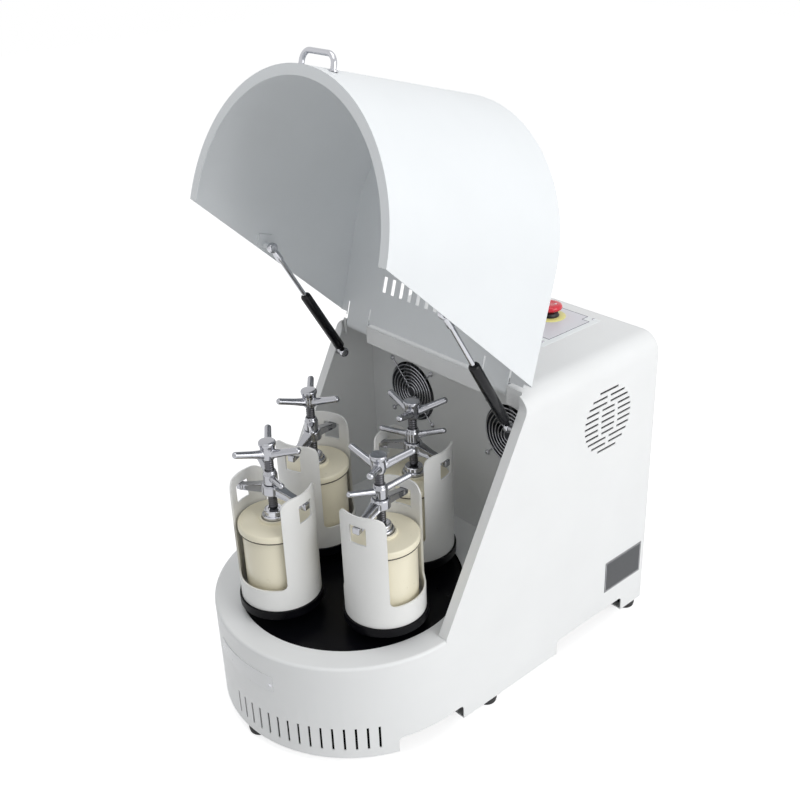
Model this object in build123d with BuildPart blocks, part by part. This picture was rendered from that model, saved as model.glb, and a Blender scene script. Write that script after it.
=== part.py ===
from build123d import *
from math import acos, cos, hypot, pi, radians, sin, sqrt, tan
import os

os.makedirs("parts", exist_ok=True)

# Planetary ball mill with four grinding stations, lid swung open.
# X runs across the case, Y from front to rear, Z up from the bench. All sizes in mm.

# ---------------------------------------------------------------- running and seat clearances
RUN_FIT = 0.05
SEAT_GAP = 0.3
SHEET_FIT = 0.2

# ---------------------------------------------------------------- case
FOOT_HEIGHT = 16.0
FOOT_RADIUS = 19.0
SHEET = 2.0
DRUM_RADIUS = 235.0
DRUM_Y = -140.0
DECK_TOP = 198.2
DECK_EDGE_RADIUS = 5.0
DECK_OPENING_RADIUS = 191.6
CABINET_TOP = 564.3
REAR_Y = 370.0
TOP_EDGE_RADIUS = 35.0
SLANT_FOOT_Y = -141.0
SLANT_FOOT_Z = 202.0
SLANT_ANGLE = 61.85
SLANT_END_Y = 40.0
SLANT_BLEND_RADIUS = 20.0
SIDE_FLANGE = 18.0
BOTTOM_FLANGE = 40.0
BACK_WALL_Y = 122.0
LIP_Y = 46.0
LIP_HEIGHT = 31.0
LIP_CUT_DEPTH = 24.0

CUTOUT_HEIGHT = 28.0
CUTOUT_CORNER = 8.0
FRONT_CUTOUT_Y = -232.0
FRONT_CUTOUT_LENGTH = 127.0
REAR_CUTOUT_Y = 129.0
REAR_CUTOUT_LENGTH = 181.0
MID_FOOT_Y = -32.0
REAR_FOOT_Y = 348.0

FRONT_SLOTS = 15
FRONT_SLOT_PITCH = 4.65
FRONT_SLOT_START = -95.7
FRONT_SLOT_HEIGHT = 44.0
FRONT_SLOT_WIDTH = 3.8
FRONT_SLOT_Z = 55.0

SIDE_VENT_Y = 240.0
SIDE_VENT_Z = 450.0
SIDE_VENT_RADIUS = 60.0
SIDE_VENT_ROWS = 11
SIDE_VENT_PITCH = 11.0
SIDE_VENT_SLOT = 4.0
SIDE_VENT_LENGTH = 33.0
SIDE_VENT_WEB = 8.0

# ---------------------------------------------------------------- lid
HINGE_Y = 57.0
HINGE_Z = 553.0
LID_OPEN_ANGLE = 106.0
LID_SHEET = 2.0
LID_RADIUS = 231.0
LID_EDGE_RADIUS = 4.0
LID_RIM_Z = 199.5
LID_RIM_FLANGE = 16.0
LID_SLANT_GAP = 3.0
LID_SLANT_ANGLE = 62.4
LID_PLATE_END = 14.0
LID_CORNER_END = 19.5
LID_CORNER_HALF = 214.5
CURL_RADIUS = 8.3
TAB_WIDTH = 54.0
LEFT_TAB_X = -183.0
RIGHT_TAB_X = 155.0
TAB_SIDE_GAP = 2.0
TAB_SLIT_DEPTH = 25.0
TAB_SLIT_WIDTH = 4.0
LID_SLOTS = 13
LID_SLOT_PITCH = 21.33
LID_SLOT_LENGTH = 28.0
LID_SLOT_WIDTH = 9.0
LID_SLOT_Y = 89.7
HANDLE_WIDTH = 80.0
HANDLE_REACH = 24.0
HANDLE_BAR = 9.0
HANDLE_DEPTH = 11.0
HANDLE_CORNER = 18.0
HANDLE_RISE = 26.5
LATCH_LENGTH = 39.0
LATCH_HEIGHT = 26.0
LATCH_THICK = 4.0
LATCH_FRONT = 244.0

# ---------------------------------------------------------------- lid gas springs
SPRING_WALL_GAP = 26.0
SPRING_LOW_Y = 31.1
SPRING_LOW_Z = 504.2
SPRING_HIGH_Y = -132.5
SPRING_HIGH_Z = -204.2
SPRING_TUBE_LENGTH = 153.6
SPRING_TUBE_RADIUS = 9.0
SPRING_ROD_RADIUS = 4.0
SPRING_ROD_INNER_END = 108.0
SPRING_EYE_RADIUS = 9.0
SPRING_EYE_WIDTH = 9.0
SPRING_STUD_RADIUS = 4.0
SPRING_NECK_RADIUS = 3.75
SPRING_COLLAR_RADIUS = 7.0
BRACKET_LENGTH = 36.0
BRACKET_HEIGHT = 28.0
BRACKET_EDGE_GAP = 3.5

# ---------------------------------------------------------------- panel and emergency stop
PANEL_HALF_WIDTH = 117.0
PANEL_FRONT_Y = 206.0
PANEL_REAR_Y = 344.0
PANEL_THICK = 3.0
PANEL_NOTCH = 10.0
STOP_X = 50.0
STOP_Y = 300.0
STOP_RING_RADIUS = 28.0
STOP_RING_THICK = 3.0
STOP_COLLAR_RADIUS = 15.0
STOP_COLLAR_HEIGHT = 12.0
STOP_THREAD_RADIUS = 11.0
STOP_BLOCK = 34.0
STOP_BLOCK_HEIGHT = 40.0
STOP_STEM_RADIUS = 7.0
STOP_HEAD_RADIUS = 20.0
STOP_HEAD_HEIGHT = 11.0
STOP_TRAVEL = 5.0

# ---------------------------------------------------------------- fans
FAN_X = 122.0
FAN_Z = 421.0
FAN_SIZE = 120.0
FAN_DEPTH = 25.0
FAN_BORE_RADIUS = 57.0
FAN_HUB_RADIUS = 20.0
FAN_SPOKE = 6.0
FAN_BLADES = 7
FAN_BLADE_GAP = 2.0
FAN_BLADE_PITCH = 35.0
FAN_BLADE_THICK = 1.6
GUARD_RADIUS = 52.0
GUARD_RINGS = 3
GUARD_PITCH = 17.0
GUARD_SIDES = 16
GUARD_WIRE = 2.4
GUARD_EAR = 52.5
GUARD_EAR_SIZE = 10.0

# ---------------------------------------------------------------- drive
PLATE_TOP = 110.0
PLATE_THICK = 8.0
PLATE_INSET = 10.0
LEG_SIZE = 24.0
LEG_X = 213.0
FRONT_LEG_X = 60.0
FRONT_LEG_Y = -340.0
SHAFT_RADIUS = 17.5
SHAFT_BOTTOM = 48.0
HOUSING_RADIUS = 45.0
HOUSING_FLANGE_HALF = 55.0
HOUSING_FLANGE = 12.0
PULLEY_TOP = 84.0
PULLEY_WIDTH = 26.0
PULLEY_RADIUS = 90.0
PULLEY_RATIO = 3.0
MOTOR_Y = 246.0
MOTOR_RADIUS = 80.0
MOTOR_HEIGHT = 250.0
MOTOR_SHAFT_RADIUS = 9.5
MOTOR_SHAFT_TOP = 140.0
BELT_THICK = 5.0
BELT_GAP = 0.4
BELT_WIDTH = 20.0
BOX_X = -150.0
BOX_Y = 265.0
BOX_WIDTH = 100.0
BOX_DEPTH = 130.0
BOX_HEIGHT = 140.0
INLET_X = 150.0
INLET_Z = 62.0
INLET_WIDTH = 50.0
INLET_HEIGHT = 30.0
INLET_DEPTH = 30.0
INLET_PROUD = 5.0
OUTLET_SLOTS = 9
OUTLET_PITCH = 14.0
OUTLET_LENGTH = 150.0
OUTLET_SLOT = 5.0
OUTLET_Z = 421.0

# ---------------------------------------------------------------- gears
STATION_RADIUS = 128.0
STATIONS = 4
STATION_START = 256.5
GEAR_TEETH = 24
PRESSURE_ANGLE = 20.0
BACKLASH = 0.6
DEDENDUM = 1.25
GEAR_BOTTOM = 150.0
GEAR_WIDTH = 22.0
SHAFT_HOLE_RADIUS = 21.0
TURNTABLE_RADIUS = 188.0
TURNTABLE_BOTTOM = 182.0
TURNTABLE_THICK = 12.0
HUB_RADIUS = 40.0
HUB_DROP = 7.0
PLANET_SHAFT_RADIUS = 26.0
SEAT_BOTTOM = 215.0
SEAT_RADIUS = 69.5

# ---------------------------------------------------------------- grinding station
SLEEVE_BOTTOM = 229.0
SLEEVE_RADIUS = 66.0
SLEEVE_WALL = 3.0
SLEEVE_FLOOR = 4.0
SLEEVE_BAND = 39.0
SLEEVE_HEIGHT = 203.0
SLEEVE_WALL_ANGLE = 82.0
SLEEVE_LOW_CORNER = 10.0
SLEEVE_TOP_CORNER = 20.0
SLOT_WIDTH = 30.0
SLOT_BOTTOM = 382.0
SLOT_HEIGHT = 32.0
JAR_RADIUS = 54.5
JAR_WALL = 8.5
JAR_FLOOR = 10.0
JAR_TOP = 354.0
JAR_LID_RADIUS = 60.0
JAR_LID_THICK = 12.0
BOSS_RADIUS = 24.5
BOSS_HEIGHT = 5.0
RECESS_DEPTH = 4.0
FOOT_PLAY = 1.0
PRESS_FOOT_RADIUS = 19.5
PRESS_FOOT_HEIGHT = 14.0
PRESS_COLLAR_RADIUS = 15.5
PRESS_COLLAR_HEIGHT = 8.0
BEAM_WIDTH = 22.0
BEAM_REACH = 70.0
BEAM_HUB_RADIUS = 16.0
BEAM_HUB_BOTTOM = 398.0
BEAM_HUB_HEIGHT = 24.0
BEAM_TIP_HEIGHT = 12.0
BEAM_POCKET = 4.0
SPINDLE_RADIUS = 7.5
NUT_HEIGHT = 28.0
NUT_RADIUS = 11.7
ARM_SIDES = 8
NUT_ARM_RADIUS = 4.25
NUT_ARM_REACH = 56.0
HANDLE_HUB_BOTTOM = 478.0
HANDLE_HUB_RADIUS = 11.0
HANDLE_HUB_HEIGHT = 25.0
HANDLE_CAP_RADIUS = 13.8
HANDLE_CAP_THICK = 4.0
HANDLE_ARM_RISE = 9.0
HANDLE_ARM_RADIUS = 4.0
HANDLE_ARM_REACH = 58.0

# Angle of the holder walls, of the nut arms and of the handle arms at each station.
WALL_ANGLES = [16.0, -74.5, 13.0, -70.0]
NUT_ANGLES = [-4.0, 76.0, 39.0, 12.0]
GRIP_ANGLES = [23.0, 67.0, 57.0, 19.0]

# ---------------------------------------------------------------- derived sizes
SHELL_REAR = REAR_Y - SHEET
INNER_HALF = DRUM_RADIUS - SHEET
ROD_RADIUS = CURL_RADIUS - RUN_FIT
SPRING_X = min(LID_RADIUS - LID_SHEET, DRUM_RADIUS - SHEET) - SPRING_WALL_GAP
EYE_BORE_RADIUS = SPRING_STUD_RADIUS + RUN_FIT
EYE_OUTER_X = SPRING_X + SPRING_EYE_WIDTH / 2
LID_SIN = sin(radians(LID_OPEN_ANGLE))
LID_COS = cos(radians(LID_OPEN_ANGLE))
LID_DRUM_Y = DRUM_Y - HINGE_Y
LID_RIM = LID_RIM_Z - HINGE_Z
SPRING_OPEN_Y = SPRING_HIGH_Y * LID_COS + SPRING_HIGH_Z * LID_SIN + HINGE_Y
SPRING_OPEN_Z = SPRING_HIGH_Z * LID_COS - SPRING_HIGH_Y * LID_SIN + HINGE_Z
SPRING_OPEN_LENGTH = hypot(SPRING_OPEN_Y - SPRING_LOW_Y, SPRING_OPEN_Z - SPRING_LOW_Z)
SPRING_DIR_Y = (SPRING_OPEN_Y - SPRING_LOW_Y) / SPRING_OPEN_LENGTH
SPRING_DIR_Z = (SPRING_OPEN_Z - SPRING_LOW_Z) / SPRING_OPEN_LENGTH
GEAR_PITCH_RADIUS = STATION_RADIUS / 2
GEAR_MODULE = 2 * GEAR_PITCH_RADIUS / GEAR_TEETH
MOTOR_PULLEY_RADIUS = PULLEY_RADIUS / PULLEY_RATIO
PLATE_BOTTOM = PLATE_TOP - PLATE_THICK
JAR_BOTTOM = SLEEVE_BOTTOM + SLEEVE_FLOOR
JAR_LID_TOP = JAR_TOP + JAR_LID_THICK
PRESS_BOTTOM = JAR_LID_TOP - RECESS_DEPTH + SEAT_GAP
PRESS_TOP = PRESS_BOTTOM + PRESS_FOOT_HEIGHT + PRESS_COLLAR_HEIGHT
BEAM_TOP = SLOT_BOTTOM + SLOT_HEIGHT - SEAT_GAP
HANDLE_ARM_Z = HANDLE_HUB_BOTTOM + HANDLE_ARM_RISE
PANEL_TOP = CABINET_TOP + PANEL_THICK
STOP_BLOCK_TOP = CABINET_TOP - SHEET - SEAT_GAP

# Frames of the open lid: seen from above, and from the side along X.
LID_FLAT = Plane(origin=(0, HINGE_Y, HINGE_Z), x_dir=(1, 0, 0), z_dir=(0, LID_SIN, LID_COS))
LID_SIDE = Plane(origin=(0, HINGE_Y, HINGE_Z), x_dir=(0, LID_COS, -LID_SIN), z_dir=(1, 0, 0))


def save(piece, name):
    piece.part.label = name
    export_step(piece.part, "parts/" + name + ".step")


def case_plan(inset, rear):
    # Outline of the case seen from above: half drum in front, straight sides behind.
    with Locations((0, DRUM_Y)):
        Circle(DRUM_RADIUS - inset)
    with Locations((0, (DRUM_Y + rear) / 2)):
        Rectangle(2 * (DRUM_RADIUS - inset), rear - DRUM_Y)


def cabinet_section(inset, bottom):
    # Cabinet seen from the front: upright box with rounded upper edges.
    height = CABINET_TOP - inset - bottom
    with Locations((0, bottom + height / 2)):
        Rectangle(2 * (DRUM_RADIUS - inset), height)
    fillet(vertices().group_by(Axis.Y)[-1], TOP_EDGE_RADIUS - inset)


def side_outline(inset, bottom):
    # Cabinet side: slanted front edge that blends into a short upright one.
    foot = SLANT_FOOT_Y + inset / sin(radians(SLANT_ANGLE))
    bend_y = SLANT_END_Y + inset
    bend_z = SLANT_FOOT_Z + (bend_y - foot) * tan(radians(SLANT_ANGLE))
    top = CABINET_TOP + SHEET
    corners = [
        (foot, bottom),
        (foot, SLANT_FOOT_Z),
        (bend_y, bend_z),
        (bend_y, top),
        (REAR_Y + SHEET, top),
        (REAR_Y + SHEET, bottom),
    ]
    Polygon(*corners, align=None)
    bend = vertices().sort_by_distance((bend_y, bend_z))[0]
    fillet(bend, SLANT_BLEND_RADIUS + inset)


# ================================================================ case
with BuildPart() as cabinet_outer:
    with BuildSketch(Plane.XZ.offset(-SHELL_REAR)):
        cabinet_section(0, DECK_TOP - DECK_EDGE_RADIUS)
    extrude(amount=SHELL_REAR - SLANT_FOOT_Y)
    with BuildSketch(Plane.YZ):
        side_outline(0, DECK_TOP - DECK_EDGE_RADIUS)
    extrude(amount=DRUM_RADIUS, both=True, mode=Mode.INTERSECT)

with BuildPart() as cabinet_space:
    with BuildSketch(Plane.XZ.offset(-REAR_Y)):
        cabinet_section(SHEET, DECK_TOP)
    extrude(amount=REAR_Y - SLANT_FOOT_Y)
    with BuildSketch(Plane.YZ):
        side_outline(SHEET, DECK_TOP)
    extrude(amount=DRUM_RADIUS, both=True, mode=Mode.INTERSECT)

with BuildPart() as body_shell:
    # Skirt and deck.
    with BuildSketch(Plane.XY.offset(FOOT_HEIGHT)):
        case_plan(0, SHELL_REAR)
    extrude(amount=DECK_TOP - FOOT_HEIGHT)
    deck_rim = edges().group_by(Axis.Z)[-1].filter_by(GeomType.CIRCLE)
    fillet(deck_rim, DECK_EDGE_RADIUS)
    add(cabinet_outer.part)
    with BuildSketch(Plane.XY.offset(FOOT_HEIGHT + SHEET)):
        case_plan(SHEET, REAR_Y)
    extrude(amount=DECK_TOP - FOOT_HEIGHT - 2 * SHEET, mode=Mode.SUBTRACT)
    with BuildSketch(Plane.XY.offset(FOOT_HEIGHT)):
        case_plan(BOTTOM_FLANGE, SHELL_REAR - BOTTOM_FLANGE)
    extrude(amount=SHEET, mode=Mode.SUBTRACT)
    # Cabinet space, its open front and the drive space behind the chamber.
    add(cabinet_space.part, mode=Mode.SUBTRACT)
    opening_half = DRUM_RADIUS - SIDE_FLANGE
    with BuildSketch(Plane.XY.offset(DECK_TOP)):
        with Locations((0, (LIP_Y + DRUM_Y - DRUM_RADIUS) / 2)):
            Rectangle(2 * opening_half, LIP_Y - DRUM_Y + DRUM_RADIUS)
    extrude(amount=CABINET_TOP - DECK_TOP, mode=Mode.SUBTRACT)
    drive_front = BACK_WALL_Y + SHEET
    with BuildSketch(Plane.XY.offset(DECK_TOP - SHEET)):
        with Locations((0, (drive_front + REAR_Y) / 2)):
            Rectangle(2 * INNER_HALF, REAR_Y - drive_front)
    extrude(amount=SHEET, mode=Mode.SUBTRACT)
    # Lip along the front of the top sheet, cut away at the hinge tabs.
    with BuildSketch(Plane.XY.offset(CABINET_TOP - LIP_HEIGHT)):
        with Locations((0, LIP_Y + SHEET / 2)):
            Rectangle(2 * opening_half, SHEET)
    extrude(amount=LIP_HEIGHT - SHEET / 2)
    with BuildSketch(Plane.XY.offset(CABINET_TOP - LIP_HEIGHT)):
        with Locations((LEFT_TAB_X, LIP_Y + LIP_CUT_DEPTH / 2), (RIGHT_TAB_X, LIP_Y + LIP_CUT_DEPTH / 2)):
            Rectangle(TAB_WIDTH + 2 * TAB_SIDE_GAP, LIP_CUT_DEPTH)
    extrude(amount=LIP_HEIGHT, mode=Mode.SUBTRACT)
    # Ears that carry the hinge rod beside each tab.
    ear_height = CABINET_TOP - SHEET - HINGE_Z + ROD_RADIUS + SHEET
    rod_end = RIGHT_TAB_X + TAB_WIDTH / 2 + TAB_SIDE_GAP + 2 * SHEET
    for ear_x in (
        LEFT_TAB_X + TAB_WIDTH / 2 + TAB_SIDE_GAP,
        RIGHT_TAB_X - TAB_WIDTH / 2 - TAB_SIDE_GAP - 2 * SHEET,
        rod_end - 2 * SHEET,
    ):
        with BuildSketch(Plane.YZ.offset(ear_x)):
            with Locations((HINGE_Y + SHEET, CABINET_TOP - SHEET / 2 - ear_height / 2)):
                Rectangle(2 * ROD_RADIUS + 2 * SHEET, ear_height)
        extrude(amount=2 * SHEET)
    with BuildSketch(Plane.YZ.offset(LEFT_TAB_X)):
        with Locations((HINGE_Y, HINGE_Z)):
            Circle(ROD_RADIUS + RUN_FIT)
    extrude(amount=rod_end - LEFT_TAB_X, mode=Mode.SUBTRACT)
    # Round opening of the deck over the turntable.
    with BuildSketch(Plane.XY.offset(DECK_TOP - SHEET)):
        with Locations((0, DRUM_Y)):
            Circle(DECK_OPENING_RADIUS)
    extrude(amount=SHEET, mode=Mode.SUBTRACT)
    # Cut-outs along the foot of the skirt.
    with BuildSketch(Plane.YZ):
        for start, length in (
            (FRONT_CUTOUT_Y, FRONT_CUTOUT_LENGTH),
            (REAR_CUTOUT_Y, REAR_CUTOUT_LENGTH),
        ):
            with Locations((start + length / 2, FOOT_HEIGHT)):
                RectangleRounded(length, 2 * CUTOUT_HEIGHT, CUTOUT_CORNER)
    extrude(amount=DRUM_RADIUS, both=True, mode=Mode.SUBTRACT)
    # Upright vent slots round the front of the skirt.
    for k in range(FRONT_SLOTS):
        turn = radians(FRONT_SLOT_START + k * FRONT_SLOT_PITCH)
        outward = (cos(turn), sin(turn), 0)
        face = Plane(origin=(0, DRUM_Y, FRONT_SLOT_Z), x_dir=(-sin(turn), cos(turn), 0), z_dir=outward)
        with BuildSketch(face.offset(DRUM_RADIUS - 3 * SHEET)):
            Rectangle(FRONT_SLOT_WIDTH, FRONT_SLOT_HEIGHT)
        extrude(amount=4 * SHEET, mode=Mode.SUBTRACT)
    # Round field of slots in the right cabinet side.
    with BuildSketch(Plane.YZ.offset(DRUM_RADIUS)):
        for row in range(SIDE_VENT_ROWS):
            level = (row - (SIDE_VENT_ROWS - 1) / 2) * SIDE_VENT_PITCH
            chord = 2 * sqrt(SIDE_VENT_RADIUS**2 - level**2)
            count = max(1, round(chord / (SIDE_VENT_LENGTH + SIDE_VENT_WEB)))
            length = (chord - (count - 1) * SIDE_VENT_WEB) / count
            with Locations((SIDE_VENT_Y, SIDE_VENT_Z + level)):
                with GridLocations(length + SIDE_VENT_WEB, 1, count, 1):
                    Rectangle(length, SIDE_VENT_SLOT)
    extrude(amount=-2 * SHEET, mode=Mode.SUBTRACT)
    # Hole for the threaded neck of the emergency stop.
    with BuildSketch(Plane.XY.offset(CABINET_TOP - 2 * SHEET)):
        with Locations((STOP_X, STOP_Y)):
            Circle(STOP_THREAD_RADIUS + SHEET_FIT)
    extrude(amount=3 * SHEET, mode=Mode.SUBTRACT)
save(body_shell, "body_shell")

with BuildPart() as spring_studs:
    # Shouldered studs on both cabinet walls that carry the lid springs.
    for side in (-1, 1):
        shoulder = Plane.YZ.offset(side * (EYE_OUTER_X + SEAT_GAP))
        with BuildSketch(shoulder):
            with Locations((SPRING_LOW_Y, SPRING_LOW_Z)):
                Circle(SPRING_COLLAR_RADIUS)
        extrude(amount=side * (INNER_HALF - SHEET_FIT - EYE_OUTER_X - SEAT_GAP))
        with BuildSketch(shoulder):
            with Locations((SPRING_LOW_Y, SPRING_LOW_Z)):
                Circle(SPRING_STUD_RADIUS)
        extrude(amount=-side * (SPRING_EYE_WIDTH + 2 * SEAT_GAP))
save(spring_studs, "spring_studs")

with BuildPart() as chamber_back_wall:
    with BuildSketch(Plane.XZ.offset(-BACK_WALL_Y)):
        cabinet_section(SHEET + SHEET_FIT, DECK_TOP + SHEET_FIT)
        with Locations((-FAN_X, FAN_Z), (FAN_X, FAN_Z)):
            Circle(FAN_BORE_RADIUS, mode=Mode.SUBTRACT)
    extrude(amount=-SHEET)
save(chamber_back_wall, "chamber_back_wall")

with BuildPart() as rear_panel:
    with BuildSketch(Plane.XZ.offset(-SHELL_REAR)):
        cabinet_section(0, FOOT_HEIGHT)
        with Locations((0, OUTLET_Z)):
            with GridLocations(1, OUTLET_PITCH, 1, OUTLET_SLOTS):
                Rectangle(OUTLET_LENGTH, OUTLET_SLOT, mode=Mode.SUBTRACT)
        with Locations((INLET_X, INLET_Z)):
            Rectangle(INLET_WIDTH, INLET_HEIGHT, mode=Mode.SUBTRACT)
    extrude(amount=-SHEET)
save(rear_panel, "rear_panel")

with BuildPart() as power_inlet:
    with BuildSketch(Plane.XZ.offset(-REAR_Y)):
        with Locations((INLET_X, INLET_Z)):
            Rectangle(INLET_WIDTH + 4 * SHEET, INLET_HEIGHT + 4 * SHEET)
    extrude(amount=-INLET_PROUD)
    with BuildSketch(Plane.XZ.offset(-REAR_Y)):
        with Locations((INLET_X, INLET_Z)):
            Rectangle(INLET_WIDTH - 2 * SHEET_FIT, INLET_HEIGHT - 2 * SHEET_FIT)
    extrude(amount=INLET_DEPTH)
    with BuildSketch(Plane.XZ.offset(-REAR_Y - INLET_PROUD)):
        with Locations((INLET_X, INLET_Z)):
            Rectangle(INLET_WIDTH - 8 * SHEET, INLET_HEIGHT - 4 * SHEET)
    extrude(amount=INLET_DEPTH / 2, mode=Mode.SUBTRACT)
save(power_inlet, "power_inlet")

with BuildPart() as rubber_feet:
    with BuildSketch(Plane.XY):
        front_y = DRUM_Y - DRUM_RADIUS + SHEET + FOOT_RADIUS
        side_x = DRUM_RADIUS - SHEET / 2 - FOOT_RADIUS
        with Locations((0, front_y)):
            Circle(FOOT_RADIUS)
        for foot_y in (MID_FOOT_Y, REAR_FOOT_Y):
            with Locations((-side_x, foot_y), (side_x, foot_y)):
                Circle(FOOT_RADIUS)
    extrude(amount=FOOT_HEIGHT)
save(rubber_feet, "rubber_feet")

with BuildPart() as hinge_rod:
    with BuildSketch(Plane.YZ.offset(LEFT_TAB_X - TAB_WIDTH / 2)):
        with Locations((HINGE_Y, HINGE_Z)):
            Circle(ROD_RADIUS)
    extrude(amount=rod_end - LEFT_TAB_X + TAB_WIDTH / 2)
save(hinge_rod, "hinge_rod")

# ================================================================ panel and emergency stop
with BuildPart() as control_panel:
    with BuildSketch(Plane.XY.offset(CABINET_TOP)):
        with Locations((0, (PANEL_FRONT_Y + PANEL_REAR_Y) / 2)):
            Rectangle(2 * PANEL_HALF_WIDTH, PANEL_REAR_Y - PANEL_FRONT_Y)
        with Locations((PANEL_HALF_WIDTH, PANEL_REAR_Y), (-PANEL_HALF_WIDTH, PANEL_REAR_Y)):
            Rectangle(PANEL_NOTCH, PANEL_NOTCH, mode=Mode.SUBTRACT)
        with Locations((STOP_X, STOP_Y)):
            Circle(STOP_THREAD_RADIUS + SHEET_FIT, mode=Mode.SUBTRACT)
    extrude(amount=PANEL_THICK)
save(control_panel, "control_panel")

with BuildPart() as estop_collar:
    with BuildSketch(Plane.XY.offset(PANEL_TOP)):
        with Locations((STOP_X, STOP_Y)):
            Circle(STOP_RING_RADIUS)
    extrude(amount=STOP_RING_THICK)
    with BuildSketch(Plane.XY.offset(PANEL_TOP)):
        with Locations((STOP_X, STOP_Y)):
            Circle(STOP_COLLAR_RADIUS)
    extrude(amount=STOP_COLLAR_HEIGHT)
    with BuildSketch(Plane.XY.offset(STOP_BLOCK_TOP)):
        with Locations((STOP_X, STOP_Y)):
            Circle(STOP_THREAD_RADIUS)
    extrude(amount=PANEL_TOP - STOP_BLOCK_TOP)
    with BuildSketch(Plane.XY.offset(STOP_BLOCK_TOP)):
        with Locations((STOP_X, STOP_Y)):
            Rectangle(STOP_BLOCK, STOP_BLOCK)
    extrude(amount=-STOP_BLOCK_HEIGHT)
    with BuildSketch(Plane.XY.offset(STOP_BLOCK_TOP - STOP_BLOCK_HEIGHT / 2)):
        with Locations((STOP_X, STOP_Y)):
            Circle(STOP_STEM_RADIUS + RUN_FIT)
    extrude(amount=STOP_BLOCK_HEIGHT + STOP_COLLAR_HEIGHT, mode=Mode.SUBTRACT)
save(estop_collar, "estop_collar")

STOP_HEAD_BOTTOM = PANEL_TOP + STOP_COLLAR_HEIGHT + STOP_TRAVEL + SEAT_GAP
with BuildPart() as estop_button:
    with BuildSketch(Plane.XY.offset(STOP_HEAD_BOTTOM)):
        with Locations((STOP_X, STOP_Y)):
            Circle(STOP_HEAD_RADIUS)
    extrude(amount=STOP_HEAD_HEIGHT)
    chamfer(edges().group_by(Axis.Z)[-1], STOP_HEAD_HEIGHT / 3)
    with BuildSketch(Plane.XY.offset(STOP_HEAD_BOTTOM)):
        with Locations((STOP_X, STOP_Y)):
            Circle(STOP_STEM_RADIUS)
    extrude(amount=STOP_BLOCK_TOP - STOP_HEAD_BOTTOM - STOP_BLOCK_HEIGHT / 4)
save(estop_button, "estop_button")

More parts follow.
